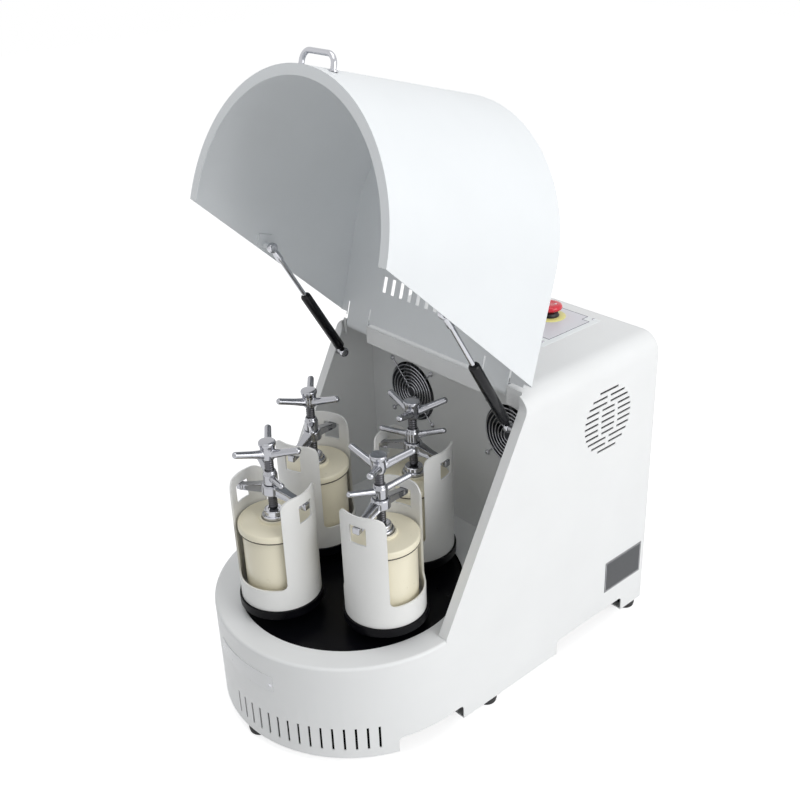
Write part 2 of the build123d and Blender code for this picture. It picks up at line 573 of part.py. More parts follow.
# ================================================================ lid
with BuildPart() as lid_shell:
    # D-shaped hood with a closed front wall and a flat top.
    with BuildSketch(LID_FLAT.offset(LID_RIM)):
        with Locations((0, LID_DRUM_Y)):
            Circle(LID_RADIUS)
        with Locations((0, (LID_DRUM_Y - LID_CORNER_END) / 2)):
            Rectangle(2 * LID_RADIUS, -LID_CORNER_END - LID_DRUM_Y)
        with Locations((0, LID_RADIUS / 2 - LID_CORNER_END)):
            Rectangle(2 * LID_RADIUS, LID_RADIUS, mode=Mode.SUBTRACT)
    extrude(amount=-CURL_RADIUS - LID_RIM)
    hood_top = faces().sort_by_distance(LID_FLAT.from_local_coords(Vector(0, LID_DRUM_Y, -CURL_RADIUS)))[0]
    hood_rim = hood_top.edges().filter_by(GeomType.CIRCLE)
    fillet(hood_rim, LID_EDGE_RADIUS)
    with BuildSketch(LID_FLAT.offset(LID_RIM)):
        with Locations((0, LID_DRUM_Y)):
            Circle(LID_RADIUS - LID_SHEET)
        with Locations((0, LID_DRUM_Y / 2)):
            Rectangle(2 * (LID_RADIUS - LID_SHEET), -LID_DRUM_Y)
    extrude(amount=-CURL_RADIUS - LID_SHEET - LID_RIM, mode=Mode.SUBTRACT)
    # Inward flange along the rim.
    with BuildSketch(LID_FLAT.offset(LID_RIM)):
        with Locations((0, LID_DRUM_Y)):
            Circle(LID_RADIUS)
            Circle(LID_RADIUS - LID_RIM_FLANGE, mode=Mode.SUBTRACT)
    extrude(amount=LID_SHEET)
    # Plate towards the hinge.
    with BuildSketch(LID_FLAT.offset(-CURL_RADIUS - LID_SHEET)):
        with Locations((0, (LID_DRUM_Y - LID_PLATE_END) / 2)):
            Rectangle(2 * LID_CORNER_HALF, -LID_PLATE_END - LID_DRUM_Y)
    extrude(amount=LID_SHEET)
    # Slanted side edges.
    slant_run = (-CURL_RADIUS - LID_SHEET - LID_RIM) / tan(radians(LID_SLANT_ANGLE))
    slant_foot = LID_DRUM_Y - LID_SLANT_GAP
    with BuildSketch(LID_SIDE):
        corners = [
            (slant_foot, LID_RIM - LID_SHEET),
            (slant_foot, LID_RIM),
            (slant_foot + slant_run, -CURL_RADIUS - LID_SHEET),
            (-LID_DRUM_Y, -CURL_RADIUS - LID_SHEET),
            (-LID_DRUM_Y, LID_RIM - LID_SHEET),
        ]
        Polygon(*corners, align=None)
    extrude(amount=DRUM_RADIUS, both=True, mode=Mode.SUBTRACT)
    # Row of slots and the slits beside the hinge tabs.
    with BuildSketch(LID_FLAT.offset(-CURL_RADIUS - LID_SHEET)):
        with Locations((0, -LID_SLOT_Y)):
            with GridLocations(LID_SLOT_PITCH, 1, LID_SLOTS, 1):
                Rectangle(LID_SLOT_WIDTH, LID_SLOT_LENGTH)
        for tab_x in (LEFT_TAB_X, RIGHT_TAB_X):
            for side in (-1, 1):
                with Locations((tab_x + side * (TAB_WIDTH + TAB_SLIT_WIDTH) / 2, -LID_PLATE_END)):
                    Rectangle(TAB_SLIT_WIDTH, 2 * TAB_SLIT_DEPTH)
    extrude(amount=LID_SHEET, mode=Mode.SUBTRACT)
    # Tabs curled round the hinge rod.
    for tab_x in (LEFT_TAB_X, RIGHT_TAB_X):
        with BuildSketch(LID_SIDE.offset(tab_x - TAB_WIDTH / 2)):
            Circle(CURL_RADIUS + LID_SHEET)
            Circle(CURL_RADIUS, mode=Mode.SUBTRACT)
            with Locations((-CURL_RADIUS, -CURL_RADIUS)):
                Rectangle(2 * CURL_RADIUS, 2 * CURL_RADIUS, mode=Mode.SUBTRACT)
            with Locations((-LID_PLATE_END, -CURL_RADIUS - LID_SHEET / 2)):
                Rectangle(2 * LID_PLATE_END, LID_SHEET)
        extrude(amount=TAB_WIDTH)
    # Brackets with the upper studs of the lid springs; their rear edge follows the slanted edge.
    low = SPRING_HIGH_Z - BRACKET_HEIGHT / 2
    high = SPRING_HIGH_Z + BRACKET_HEIGHT / 2
    edge_low = slant_foot - BRACKET_EDGE_GAP + (low - LID_RIM) / tan(radians(LID_SLANT_ANGLE))
    edge_high = slant_foot - BRACKET_EDGE_GAP + (high - LID_RIM) / tan(radians(LID_SLANT_ANGLE))
    front = SPRING_HIGH_Y - BRACKET_LENGTH / 2
    bracket = [(front, low), (edge_low, low), (edge_high, high), (front, high)]
    for side in (-1, 1):
        wall_x = LID_RADIUS - LID_SHEET
        foot_x = wall_x - 2 * LID_SHEET
        with BuildSketch(LID_SIDE.offset(side * foot_x)):
            Polygon(*bracket, align=None)
        extrude(amount=side * (2 * LID_SHEET + LID_SHEET / 2))
        stud_x = EYE_OUTER_X + SEAT_GAP
        with BuildSketch(LID_SIDE.offset(side * stud_x)):
            with Locations((SPRING_HIGH_Y, SPRING_HIGH_Z)):
                Circle(SPRING_STUD_RADIUS)
        extrude(amount=side * (foot_x - stud_x))
    # Latch plate inside the right wall.
    latch_width = LID_SHEET + 2 * LATCH_THICK
    with BuildSketch(LID_FLAT.offset(LID_RIM + LID_SHEET)):
        with Locations((0, LID_DRUM_Y)):
            Circle(LID_RADIUS - LID_SHEET / 2)
        with Locations((LID_RADIUS - latch_width / 2, LATCH_LENGTH / 2 - LATCH_FRONT)):
            Rectangle(latch_width, LATCH_LENGTH, mode=Mode.INTERSECT)
    extrude(amount=LATCH_HEIGHT)
save(lid_shell, "lid_shell")

with BuildPart() as lid_handle:
    # Bow of flat bar that stands off the front wall of the lid.
    bow_depth = HANDLE_REACH + 2 * HANDLE_CORNER
    bow_y = LID_DRUM_Y - LID_RADIUS - HANDLE_REACH + bow_depth / 2
    with BuildSketch(LID_FLAT.offset(LID_RIM + HANDLE_RISE - HANDLE_DEPTH / 2)):
        with Locations((0, bow_y)):
            RectangleRounded(HANDLE_WIDTH, bow_depth, HANDLE_CORNER)
        with Locations((0, bow_y + HANDLE_BAR)):
            RectangleRounded(
                HANDLE_WIDTH - 2 * HANDLE_BAR, bow_depth, HANDLE_CORNER - HANDLE_BAR, mode=Mode.SUBTRACT
            )
        with Locations((0, LID_DRUM_Y)):
            Circle(LID_RADIUS + RUN_FIT, mode=Mode.SUBTRACT)
    extrude(amount=HANDLE_DEPTH)
save(lid_handle, "lid_handle")

# ================================================================ lid gas springs
for side, label in ((-1, "left"), (1, "right")):
    foot = (side * SPRING_X, SPRING_LOW_Y, SPRING_LOW_Z)
    strut = Plane(origin=foot, x_dir=(1, 0, 0), z_dir=(0, SPRING_DIR_Y, SPRING_DIR_Z))
    low_eye = Plane.YZ.offset(side * SPRING_X - SPRING_EYE_WIDTH / 2)

    with BuildPart() as gas_cylinder:
        with BuildSketch(strut.offset(2 * SPRING_EYE_RADIUS)):
            Circle(SPRING_TUBE_RADIUS)
        extrude(amount=SPRING_TUBE_LENGTH - 2 * SPRING_EYE_RADIUS)
        with BuildSketch(strut):
            Circle(SPRING_NECK_RADIUS)
        extrude(amount=2 * SPRING_EYE_RADIUS + SHEET)
        with BuildSketch(low_eye):
            with Locations((SPRING_LOW_Y, SPRING_LOW_Z)):
                Circle(SPRING_EYE_RADIUS)
        extrude(amount=SPRING_EYE_WIDTH)
        with BuildSketch(low_eye):
            with Locations((SPRING_LOW_Y, SPRING_LOW_Z)):
                Circle(EYE_BORE_RADIUS)
        extrude(amount=SPRING_EYE_WIDTH, mode=Mode.SUBTRACT)
        with BuildSketch(strut.offset(SPRING_TUBE_LENGTH)):
            Circle(SPRING_ROD_RADIUS + RUN_FIT)
        extrude(amount=2 * SPRING_EYE_RADIUS + SHEET - SPRING_TUBE_LENGTH, mode=Mode.SUBTRACT)
    save(gas_cylinder, "gas_cylinder_" + label)

    with BuildPart() as gas_rod:
        with BuildSketch(strut.offset(SPRING_ROD_INNER_END)):
            Circle(SPRING_ROD_RADIUS)
        extrude(amount=SPRING_OPEN_LENGTH - SPRING_ROD_INNER_END)
        with BuildSketch(low_eye):
            with Locations((SPRING_OPEN_Y, SPRING_OPEN_Z)):
                Circle(SPRING_EYE_RADIUS)
        extrude(amount=SPRING_EYE_WIDTH)
        with BuildSketch(low_eye):
            with Locations((SPRING_OPEN_Y, SPRING_OPEN_Z)):
                Circle(EYE_BORE_RADIUS)
        extrude(amount=SPRING_EYE_WIDTH, mode=Mode.SUBTRACT)
    save(gas_rod, "gas_rod_" + label)

# ================================================================ fans
FAN_FRONT = BACK_WALL_Y + SHEET
FAN_REAR = FAN_FRONT + FAN_DEPTH
ROTOR_RADIUS = FAN_BORE_RADIUS - FAN_BLADE_GAP
ROTOR_REAR = FAN_REAR - FAN_SPOKE - SEAT_GAP

with BuildPart() as fan_frames:
    with BuildSketch(Plane.XZ.offset(-FAN_FRONT)):
        for fan_x in (-FAN_X, FAN_X):
            with Locations((fan_x, FAN_Z)):
                Rectangle(FAN_SIZE, FAN_SIZE)
                Circle(FAN_BORE_RADIUS, mode=Mode.SUBTRACT)
    extrude(amount=-FAN_DEPTH)
    with BuildSketch(Plane.XZ.offset(-FAN_REAR)):
        for fan_x in (-FAN_X, FAN_X):
            with Locations((fan_x, FAN_Z)):
                Circle(FAN_HUB_RADIUS)
                Rectangle(2 * FAN_BORE_RADIUS + SHEET, FAN_SPOKE)
                Rectangle(FAN_SPOKE, 2 * FAN_BORE_RADIUS + SHEET)
    extrude(amount=FAN_SPOKE)
save(fan_frames, "fan_frames")

with BuildPart() as fan_guards:
    with BuildSketch(Plane.XZ.offset(-BACK_WALL_Y)):
        for fan_x in (-FAN_X, FAN_X):
            with Locations((fan_x, FAN_Z)):
                with GridLocations(2 * GUARD_EAR, 2 * GUARD_EAR, 2, 2):
                    Rectangle(GUARD_EAR_SIZE, GUARD_EAR_SIZE)
                for slope in (45, 135):
                    Rectangle(2 * sqrt(2) * GUARD_EAR, GUARD_WIRE, rotation=slope)
    extrude(amount=GUARD_WIRE)
    with BuildSketch(Plane.XZ.offset(GUARD_WIRE - BACK_WALL_Y)):
        for fan_x in (-FAN_X, FAN_X):
            for ring in range(GUARD_RINGS):
                radius = GUARD_RADIUS - ring * GUARD_PITCH
                with Locations((fan_x, FAN_Z)):
                    RegularPolygon(radius, GUARD_SIDES)
                    RegularPolygon(radius - GUARD_WIRE, GUARD_SIDES, mode=Mode.SUBTRACT)
    extrude(amount=GUARD_WIRE)
save(fan_guards, "fan_guards")

for side, label in ((-1, "left"), (1, "right")):
    with BuildPart() as fan_rotor:
        with BuildSketch(Plane.XZ.offset(-ROTOR_REAR)):
            with Locations((side * FAN_X, FAN_Z)):
                Circle(FAN_HUB_RADIUS)
        extrude(amount=ROTOR_REAR - FAN_FRONT - FAN_BLADE_GAP)
        for k in range(FAN_BLADES):
            turn = 2 * pi * k / FAN_BLADES
            middle = (side * FAN_X, (FAN_FRONT + FAN_BLADE_GAP + ROTOR_REAR) / 2, FAN_Z)
            spoke = Plane(origin=middle, x_dir=(0, 1, 0), z_dir=(cos(turn), 0, sin(turn)))
            chord = (ROTOR_REAR - FAN_FRONT - 2 * FAN_BLADE_GAP) / cos(radians(FAN_BLADE_PITCH))
            with BuildSketch(spoke.offset(FAN_HUB_RADIUS - FAN_BLADE_GAP)):
                Rectangle(chord, FAN_BLADE_THICK, rotation=FAN_BLADE_PITCH)
            extrude(amount=ROTOR_RADIUS - FAN_HUB_RADIUS)
    save(fan_rotor, "fan_rotor_" + label)

# ================================================================ drive below the deck
with BuildPart() as base_frame:
    with BuildSketch(Plane.XY.offset(PLATE_BOTTOM)):
        case_plan(PLATE_INSET, SHELL_REAR - PLATE_INSET)
        with Locations((0, DRUM_Y)):
            Circle(SHAFT_HOLE_RADIUS, mode=Mode.SUBTRACT)
        with Locations((0, MOTOR_Y)):
            Circle(SHAFT_HOLE_RADIUS, mode=Mode.SUBTRACT)
    extrude(amount=PLATE_THICK)
    with BuildSketch(Plane.XY.offset(FOOT_HEIGHT + SHEET)):
        for leg_y in (MID_FOOT_Y, REAR_FOOT_Y - LEG_SIZE / 2):
            with Locations((-LEG_X, leg_y), (LEG_X, leg_y)):
                Rectangle(LEG_SIZE, LEG_SIZE)
        with Locations((-FRONT_LEG_X, FRONT_LEG_Y), (FRONT_LEG_X, FRONT_LEG_Y)):
            Rectangle(LEG_SIZE, LEG_SIZE)
    extrude(amount=PLATE_BOTTOM - FOOT_HEIGHT - SHEET)
save(base_frame, "base_frame")

with BuildPart() as main_shaft:
    with BuildSketch(Plane.XY.offset(SHAFT_BOTTOM)):
        with Locations((0, DRUM_Y)):
            Circle(SHAFT_RADIUS)
    extrude(amount=TURNTABLE_BOTTOM - SHAFT_BOTTOM)
    with BuildSketch(Plane.XY.offset(PULLEY_TOP - PULLEY_WIDTH)):
        with Locations((0, DRUM_Y)):
            Circle(PULLEY_RADIUS)
    extrude(amount=PULLEY_WIDTH)
save(main_shaft, "main_shaft")

with BuildPart() as motor:
    with BuildSketch(Plane.XY.offset(PLATE_TOP)):
        with Locations((0, MOTOR_Y)):
            Rectangle(2 * MOTOR_RADIUS, 2 * MOTOR_RADIUS)
    extrude(amount=HOUSING_FLANGE)
    with BuildSketch(Plane.XY.offset(PLATE_TOP)):
        with Locations((0, MOTOR_Y)):
            Circle(MOTOR_RADIUS)
    extrude(amount=MOTOR_HEIGHT)
    with BuildSketch(Plane.XY.offset(PLATE_TOP)):
        with Locations((0, MOTOR_Y)):
            Circle(MOTOR_SHAFT_RADIUS + RUN_FIT)
    extrude(amount=MOTOR_SHAFT_TOP - PLATE_TOP + SEAT_GAP, mode=Mode.SUBTRACT)
save(motor, "motor")

with BuildPart() as motor_pulley:
    with BuildSketch(Plane.XY.offset(PULLEY_TOP - PULLEY_WIDTH)):
        with Locations((0, MOTOR_Y)):
            Circle(MOTOR_PULLEY_RADIUS)
    extrude(amount=PULLEY_WIDTH)
    with BuildSketch(Plane.XY.offset(PULLEY_TOP)):
        with Locations((0, MOTOR_Y)):
            Circle(MOTOR_SHAFT_RADIUS)
    extrude(amount=MOTOR_SHAFT_TOP - PULLEY_TOP)
save(motor_pulley, "motor_pulley")

with BuildPart() as drive_belt:
    belt_plane = Plane.XY.offset(PULLEY_TOP - (PULLEY_WIDTH + BELT_WIDTH) / 2)
    with BuildSketch(belt_plane):
        with Locations((0, DRUM_Y)):
            Circle(PULLEY_RADIUS + BELT_GAP + BELT_THICK)
        with Locations((0, MOTOR_Y)):
            Circle(MOTOR_PULLEY_RADIUS + BELT_GAP + BELT_THICK)
        make_hull()
    extrude(amount=BELT_WIDTH)
    with BuildSketch(belt_plane):
        with Locations((0, DRUM_Y)):
            Circle(PULLEY_RADIUS + BELT_GAP)
        with Locations((0, MOTOR_Y)):
            Circle(MOTOR_PULLEY_RADIUS + BELT_GAP)
        make_hull()
    extrude(amount=BELT_WIDTH, mode=Mode.SUBTRACT)
save(drive_belt, "drive_belt")

with BuildPart() as electrical_box:
    with BuildSketch(Plane.XY.offset(PLATE_TOP)):
        with Locations((BOX_X, BOX_Y)):
            Rectangle(BOX_WIDTH, BOX_DEPTH)
    extrude(amount=BOX_HEIGHT)
save(electrical_box, "electrical_box")

# ================================================================ gear train


def gear_outline(phase):
    # Involute teeth whose flanks are chords from the root to the tip.
    base = GEAR_PITCH_RADIUS * cos(radians(PRESSURE_ANGLE))
    root = GEAR_PITCH_RADIUS - DEDENDUM * GEAR_MODULE
    tip = GEAR_PITCH_RADIUS + GEAR_MODULE
    half_tooth = pi / (2 * GEAR_TEETH) - BACKLASH / (4 * GEAR_PITCH_RADIUS)
    pitch_involute = tan(radians(PRESSURE_ANGLE)) - radians(PRESSURE_ANGLE)
    flank = []
    for radius in (root, tip):
        roll = acos(base / max(radius, base))
        flank.append((radius, half_tooth + pitch_involute - tan(roll) + roll))
    corners = []
    for tooth in range(GEAR_TEETH):
        middle = radians(phase) + 2 * pi * tooth / GEAR_TEETH
        for radius, spread in flank:
            corners.append((radius * cos(middle - spread), radius * sin(middle - spread)))
        for radius, spread in reversed(flank):
            corners.append((radius * cos(middle + spread), radius * sin(middle + spread)))
    Polygon(*corners, align=None)


with BuildPart() as sun_gear:
    # Fixed gear on top of the bearing housing of the main shaft.
    with BuildSketch(Plane(origin=(0, DRUM_Y, GEAR_BOTTOM))):
        gear_outline(0)
    extrude(amount=GEAR_WIDTH)
    with BuildSketch(Plane(origin=(0, DRUM_Y, PLATE_TOP))):
        Circle(HOUSING_RADIUS)
    extrude(amount=GEAR_BOTTOM - PLATE_TOP)
    with BuildSketch(Plane(origin=(0, DRUM_Y, PLATE_TOP))):
        Rectangle(2 * HOUSING_FLANGE_HALF, 2 * HOUSING_FLANGE_HALF)
    extrude(amount=HOUSING_FLANGE)
    with BuildSketch(Plane(origin=(0, DRUM_Y, PLATE_TOP))):
        Circle(SHAFT_RADIUS + RUN_FIT)
    extrude(amount=GEAR_BOTTOM + GEAR_WIDTH - PLATE_TOP, mode=Mode.SUBTRACT)
save(sun_gear, "sun_gear")

station_angles = [STATION_START + 360 * n / STATIONS for n in range(STATIONS)]
station_spots = [
    (STATION_RADIUS * cos(radians(turn)), DRUM_Y + STATION_RADIUS * sin(radians(turn))) for turn in station_angles
]
with BuildPart() as turntable:
    with BuildSketch(Plane.XY.offset(TURNTABLE_BOTTOM)):
        with Locations((0, DRUM_Y)):
            Circle(TURNTABLE_RADIUS)
    extrude(amount=TURNTABLE_THICK)
    with BuildSketch(Plane.XY.offset(TURNTABLE_BOTTOM)):
        with Locations((0, DRUM_Y)):
            Circle(HUB_RADIUS)
            Circle(SHAFT_RADIUS + RUN_FIT, mode=Mode.SUBTRACT)
    extrude(amount=-HUB_DROP)
    with BuildSketch(Plane.XY.offset(TURNTABLE_BOTTOM)):
        with Locations(*station_spots):
            Circle(PLANET_SHAFT_RADIUS + RUN_FIT)
    extrude(amount=TURNTABLE_THICK, mode=Mode.SUBTRACT)
save(turntable, "turntable")

# ================================================================ grinding stations
NUT_BOTTOM = BEAM_HUB_BOTTOM + BEAM_HUB_HEIGHT + SEAT_GAP

for n in range(STATIONS):
    spot_x, spot_y = station_spots[n]
    wall = radians(WALL_ANGLES[n])
    level = Plane(origin=(spot_x, spot_y, 0), x_dir=(cos(wall), sin(wall), 0), z_dir=(0, 0, 1))
    across = Plane(origin=(spot_x, spot_y, 0), x_dir=(cos(wall), sin(wall), 0), z_dir=(sin(wall), -cos(wall), 0))
    along = Plane(origin=(spot_x, spot_y, 0), x_dir=(-sin(wall), cos(wall), 0), z_dir=(cos(wall), sin(wall), 0))
    suffix = "_" + str(n + 1)

    with BuildPart() as planet_gear:
        with BuildSketch(Plane(origin=(spot_x, spot_y, GEAR_BOTTOM))):
            gear_outline(2 * station_angles[n] + 180 / GEAR_TEETH)
        extrude(amount=GEAR_WIDTH)
        with BuildSketch(level.offset(GEAR_BOTTOM + GEAR_WIDTH)):
            Circle(PLANET_SHAFT_RADIUS)
        extrude(amount=SEAT_BOTTOM - GEAR_BOTTOM - GEAR_WIDTH)
        with BuildSketch(level.offset(SEAT_BOTTOM)):
            Circle(SEAT_RADIUS)
        extrude(amount=SLEEVE_BOTTOM - SEAT_BOTTOM)
    save(planet_gear, "planet_gear" + suffix)

    sleeve_top = SLEEVE_BOTTOM + SLEEVE_HEIGHT
    with BuildPart() as jar_sleeve:
        with BuildSketch(level.offset(SLEEVE_BOTTOM)):
            Circle(SLEEVE_RADIUS)
        extrude(amount=SLEEVE_HEIGHT)
        with BuildSketch(level.offset(JAR_BOTTOM)):
            Circle(SLEEVE_RADIUS - SLEEVE_WALL)
        extrude(amount=SLEEVE_HEIGHT - SLEEVE_FLOOR, mode=Mode.SUBTRACT)
        # Two wide cut-outs leave an upright wall on either side.
        cut_width = 2 * SLEEVE_RADIUS * cos(radians(SLEEVE_WALL_ANGLE / 2))
        cut_height = 2 * (SLEEVE_HEIGHT - SLEEVE_BAND)
        with BuildSketch(across):
            with Locations((0, sleeve_top)):
                RectangleRounded(cut_width, cut_height, SLEEVE_LOW_CORNER)
        extrude(amount=SLEEVE_RADIUS, both=True, mode=Mode.SUBTRACT)
        wall_width = 2 * SLEEVE_RADIUS * sin(radians(SLEEVE_WALL_ANGLE / 2))
        with BuildSketch(along):
            with Locations((0, sleeve_top)):
                Rectangle(2 * SLEEVE_RADIUS, 2 * SLEEVE_TOP_CORNER)
            with Locations((0, sleeve_top - SLEEVE_HEIGHT / 2)):
                RectangleRounded(wall_width, SLEEVE_HEIGHT, SLEEVE_TOP_CORNER, mode=Mode.SUBTRACT)
        extrude(amount=SLEEVE_RADIUS, both=True, mode=Mode.SUBTRACT)
        # Slot in each wall for the end of the clamp beam.
        with BuildSketch(along):
            with Locations((0, SLOT_BOTTOM + SLOT_HEIGHT / 2)):
                Rectangle(SLOT_WIDTH, SLOT_HEIGHT)
        extrude(amount=SLEEVE_RADIUS, both=True, mode=Mode.SUBTRACT)
    save(jar_sleeve, "jar_sleeve" + suffix)

    with BuildPart() as jar:
        with BuildSketch(level.offset(JAR_BOTTOM)):
            Circle(JAR_RADIUS)
        extrude(amount=JAR_TOP - JAR_BOTTOM)
        with BuildSketch(level.offset(JAR_BOTTOM + JAR_FLOOR)):
            Circle(JAR_RADIUS - JAR_WALL)
        extrude(amount=JAR_TOP - JAR_BOTTOM - JAR_FLOOR, mode=Mode.SUBTRACT)
    save(jar, "jar" + suffix)

    with BuildPart() as jar_lid:
        with BuildSketch(level.offset(JAR_TOP)):
            Circle(JAR_LID_RADIUS)
        extrude(amount=JAR_LID_THICK)
        with BuildSketch(level.offset(JAR_LID_TOP)):
            Circle(BOSS_RADIUS)
        extrude(amount=BOSS_HEIGHT)
        with BuildSketch(level.offset(JAR_LID_TOP + BOSS_HEIGHT)):
            Circle(PRESS_FOOT_RADIUS + FOOT_PLAY)
        extrude(amount=-BOSS_HEIGHT - RECESS_DEPTH, mode=Mode.SUBTRACT)
    save(jar_lid, "jar_lid" + suffix)

    with BuildPart() as press_foot:
        with BuildSketch(level.offset(PRESS_BOTTOM)):
            Circle(PRESS_FOOT_RADIUS)
        extrude(amount=PRESS_FOOT_HEIGHT)
        with BuildSketch(level.offset(PRESS_BOTTOM + PRESS_FOOT_HEIGHT)):
            Circle(PRESS_COLLAR_RADIUS)
        extrude(amount=PRESS_COLLAR_HEIGHT)
    save(press_foot, "press_foot" + suffix)

    tip_bottom = BEAM_TOP - BEAM_TIP_HEIGHT
    tip_start = SLEEVE_RADIUS - 2 * SLEEVE_WALL
    hub_top = BEAM_HUB_BOTTOM + BEAM_HUB_HEIGHT
    with BuildPart() as clamp_beam:
        # Two tapered arms that end in level tips.
        with BuildSketch(across):
            for side in (-1, 1):
                outline = [
                    (0, BEAM_HUB_BOTTOM),
                    (side * BEAM_HUB_RADIUS, BEAM_HUB_BOTTOM),
                    (side * tip_start, tip_bottom),
                    (side * BEAM_REACH, tip_bottom),
                    (side * BEAM_REACH, BEAM_TOP),
                    (side * tip_start, BEAM_TOP),
                    (side * BEAM_HUB_RADIUS, hub_top),
                    (0, hub_top),
                ]
                Polygon(*outline, align=None)
        extrude(amount=BEAM_WIDTH / 2, both=True)
        # Pockets on both flanks of each arm.
        for face in (-1, 1):
            with BuildSketch(across.offset(face * (BEAM_WIDTH / 2 - BEAM_POCKET))):
                for side in (-1, 1):
                    pocket = [
                        (side * (BEAM_HUB_RADIUS + SHEET), BEAM_HUB_BOTTOM + BEAM_POCKET),
                        (side * tip_start, tip_bottom + SLEEVE_WALL),
                        (side * tip_start, BEAM_TOP - SLEEVE_WALL),
                        (side * (BEAM_HUB_RADIUS + SHEET), hub_top - BEAM_POCKET),
                    ]
                    Polygon(*pocket, align=None)
            extrude(amount=face * BEAM_POCKET, mode=Mode.SUBTRACT)
        with BuildSketch(level.offset(BEAM_HUB_BOTTOM)):
            Circle(BEAM_HUB_RADIUS)
        extrude(amount=BEAM_HUB_HEIGHT)
        with BuildSketch(level.offset(BEAM_HUB_BOTTOM)):
            Circle(SPINDLE_RADIUS + RUN_FIT)
        extrude(amount=BEAM_HUB_HEIGHT, mode=Mode.SUBTRACT)
    save(clamp_beam, "clamp_beam" + suffix)

    with BuildPart() as lock_nut:
        with BuildSketch(level.offset(NUT_BOTTOM)):
            Circle(NUT_RADIUS)
        extrude(amount=NUT_HEIGHT)
        for turn in (NUT_ANGLES[n], NUT_ANGLES[n] + 180):
            out = (cos(radians(turn)), sin(radians(turn)), 0)
            arm_root = Plane(origin=(spot_x, spot_y, NUT_BOTTOM + NUT_HEIGHT / 2), x_dir=(0, 0, 1), z_dir=out)
            with BuildSketch(arm_root.offset(NUT_RADIUS - SLEEVE_WALL)):
                RegularPolygon(NUT_ARM_RADIUS, ARM_SIDES)
            extrude(amount=NUT_ARM_REACH - NUT_RADIUS + SLEEVE_WALL)
        with BuildSketch(level.offset(NUT_BOTTOM)):
            Circle(SPINDLE_RADIUS + RUN_FIT)
        extrude(amount=NUT_HEIGHT, mode=Mode.SUBTRACT)
    save(lock_nut, "lock_nut" + suffix)

    with BuildPart() as clamp_screw:
        with BuildSketch(level.offset(PRESS_TOP + SEAT_GAP)):
            Circle(SPINDLE_RADIUS)
        extrude(amount=HANDLE_HUB_BOTTOM - PRESS_TOP - SEAT_GAP)
        with BuildSketch(level.offset(HANDLE_HUB_BOTTOM)):
            Circle(HANDLE_HUB_RADIUS)
        extrude(amount=HANDLE_HUB_HEIGHT)
        with BuildSketch(level.offset(HANDLE_HUB_BOTTOM + HANDLE_HUB_HEIGHT)):
            Circle(HANDLE_CAP_RADIUS)
        extrude(amount=HANDLE_CAP_THICK)
        for k in range(3):
            turn = radians(GRIP_ANGLES[n] + 120 * k)
            out = (cos(turn), sin(turn), 0)
            arm_root = Plane(origin=(spot_x, spot_y, HANDLE_ARM_Z), x_dir=(0, 0, 1), z_dir=out)
            with BuildSketch(arm_root.offset(HANDLE_HUB_RADIUS - SLEEVE_WALL)):
                RegularPolygon(HANDLE_ARM_RADIUS, ARM_SIDES)
            extrude(amount=HANDLE_ARM_REACH - HANDLE_HUB_RADIUS + SLEEVE_WALL)
    save(clamp_screw, "clamp_screw" + suffix)
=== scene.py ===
# %% [markdown]
# # A planetary ball mill with its lid open
#
# The mill is a white steel case with a black turntable in front. Four cream grinding jars stand on the turntable,
# each in a white holder and pressed shut by a polished screw clamp. The hood is swung open on two gas springs.
# The measured model of the mill is loaded as a fixed frame, and this lesson dresses it: some pieces of the frame
# stay and only get a finish, others are modelled again here with the rounding and detail of the real ones.

import math

import bpy
from mathutils import Matrix, Vector


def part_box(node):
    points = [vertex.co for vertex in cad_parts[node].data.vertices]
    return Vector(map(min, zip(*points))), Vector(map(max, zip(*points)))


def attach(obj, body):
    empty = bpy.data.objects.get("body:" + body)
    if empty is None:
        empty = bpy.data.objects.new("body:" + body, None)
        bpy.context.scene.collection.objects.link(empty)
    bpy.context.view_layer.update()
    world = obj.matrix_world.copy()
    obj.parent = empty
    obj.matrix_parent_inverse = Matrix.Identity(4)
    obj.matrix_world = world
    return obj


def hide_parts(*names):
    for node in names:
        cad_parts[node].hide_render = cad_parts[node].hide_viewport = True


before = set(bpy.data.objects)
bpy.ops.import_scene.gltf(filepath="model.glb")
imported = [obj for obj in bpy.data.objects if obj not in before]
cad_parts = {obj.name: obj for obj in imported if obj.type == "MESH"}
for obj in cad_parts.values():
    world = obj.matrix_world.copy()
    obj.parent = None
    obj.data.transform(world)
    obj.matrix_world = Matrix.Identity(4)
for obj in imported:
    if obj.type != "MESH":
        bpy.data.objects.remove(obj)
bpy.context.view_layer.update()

# %% [markdown]
# ## The camera
#
# The photograph looks down on the mill from its front right corner. The camera could be placed by hand, but its
# place and turn were worked out once from the round deck, the hood and the jars, so they are written down here as
# a place, two angles and a slight roll.

# %% The camera
EYE = Vector((1.2335, -1.0766, 1.3276))
LOOK_AZIMUTH = math.radians(49.28)
LOOK_ELEVATION = math.radians(27.06)
LOOK_ROLL = math.radians(-2.37)


def turned_axes(azimuth, elevation, roll):
    level = Vector((math.cos(azimuth), math.sin(azimuth), 0))
    back = Vector((
        math.cos(elevation) * math.sin(azimuth),
        -math.cos(elevation) * math.cos(azimuth),
        math.sin(elevation),
    ))
    upright = back.cross(level)
    right = level * math.cos(roll) + upright * math.sin(roll)
    return right, back.cross(right), back


bpy.ops.object.camera_add(location=EYE)
camera = bpy.context.object
axes = Matrix(turned_axes(LOOK_AZIMUTH, LOOK_ELEVATION, LOOK_ROLL)).transposed()
camera.matrix_world = Matrix.Translation(EYE) @ axes.to_4x4()
camera.data.sensor_width = 36
camera.data.lens = 49.434
camera.data.dof.use_dof = False
bpy.context.scene.camera = camera
bpy.context.scene.view_settings.view_transform = "Standard"
print("lens:", round(camera.data.lens, 2), "mm")

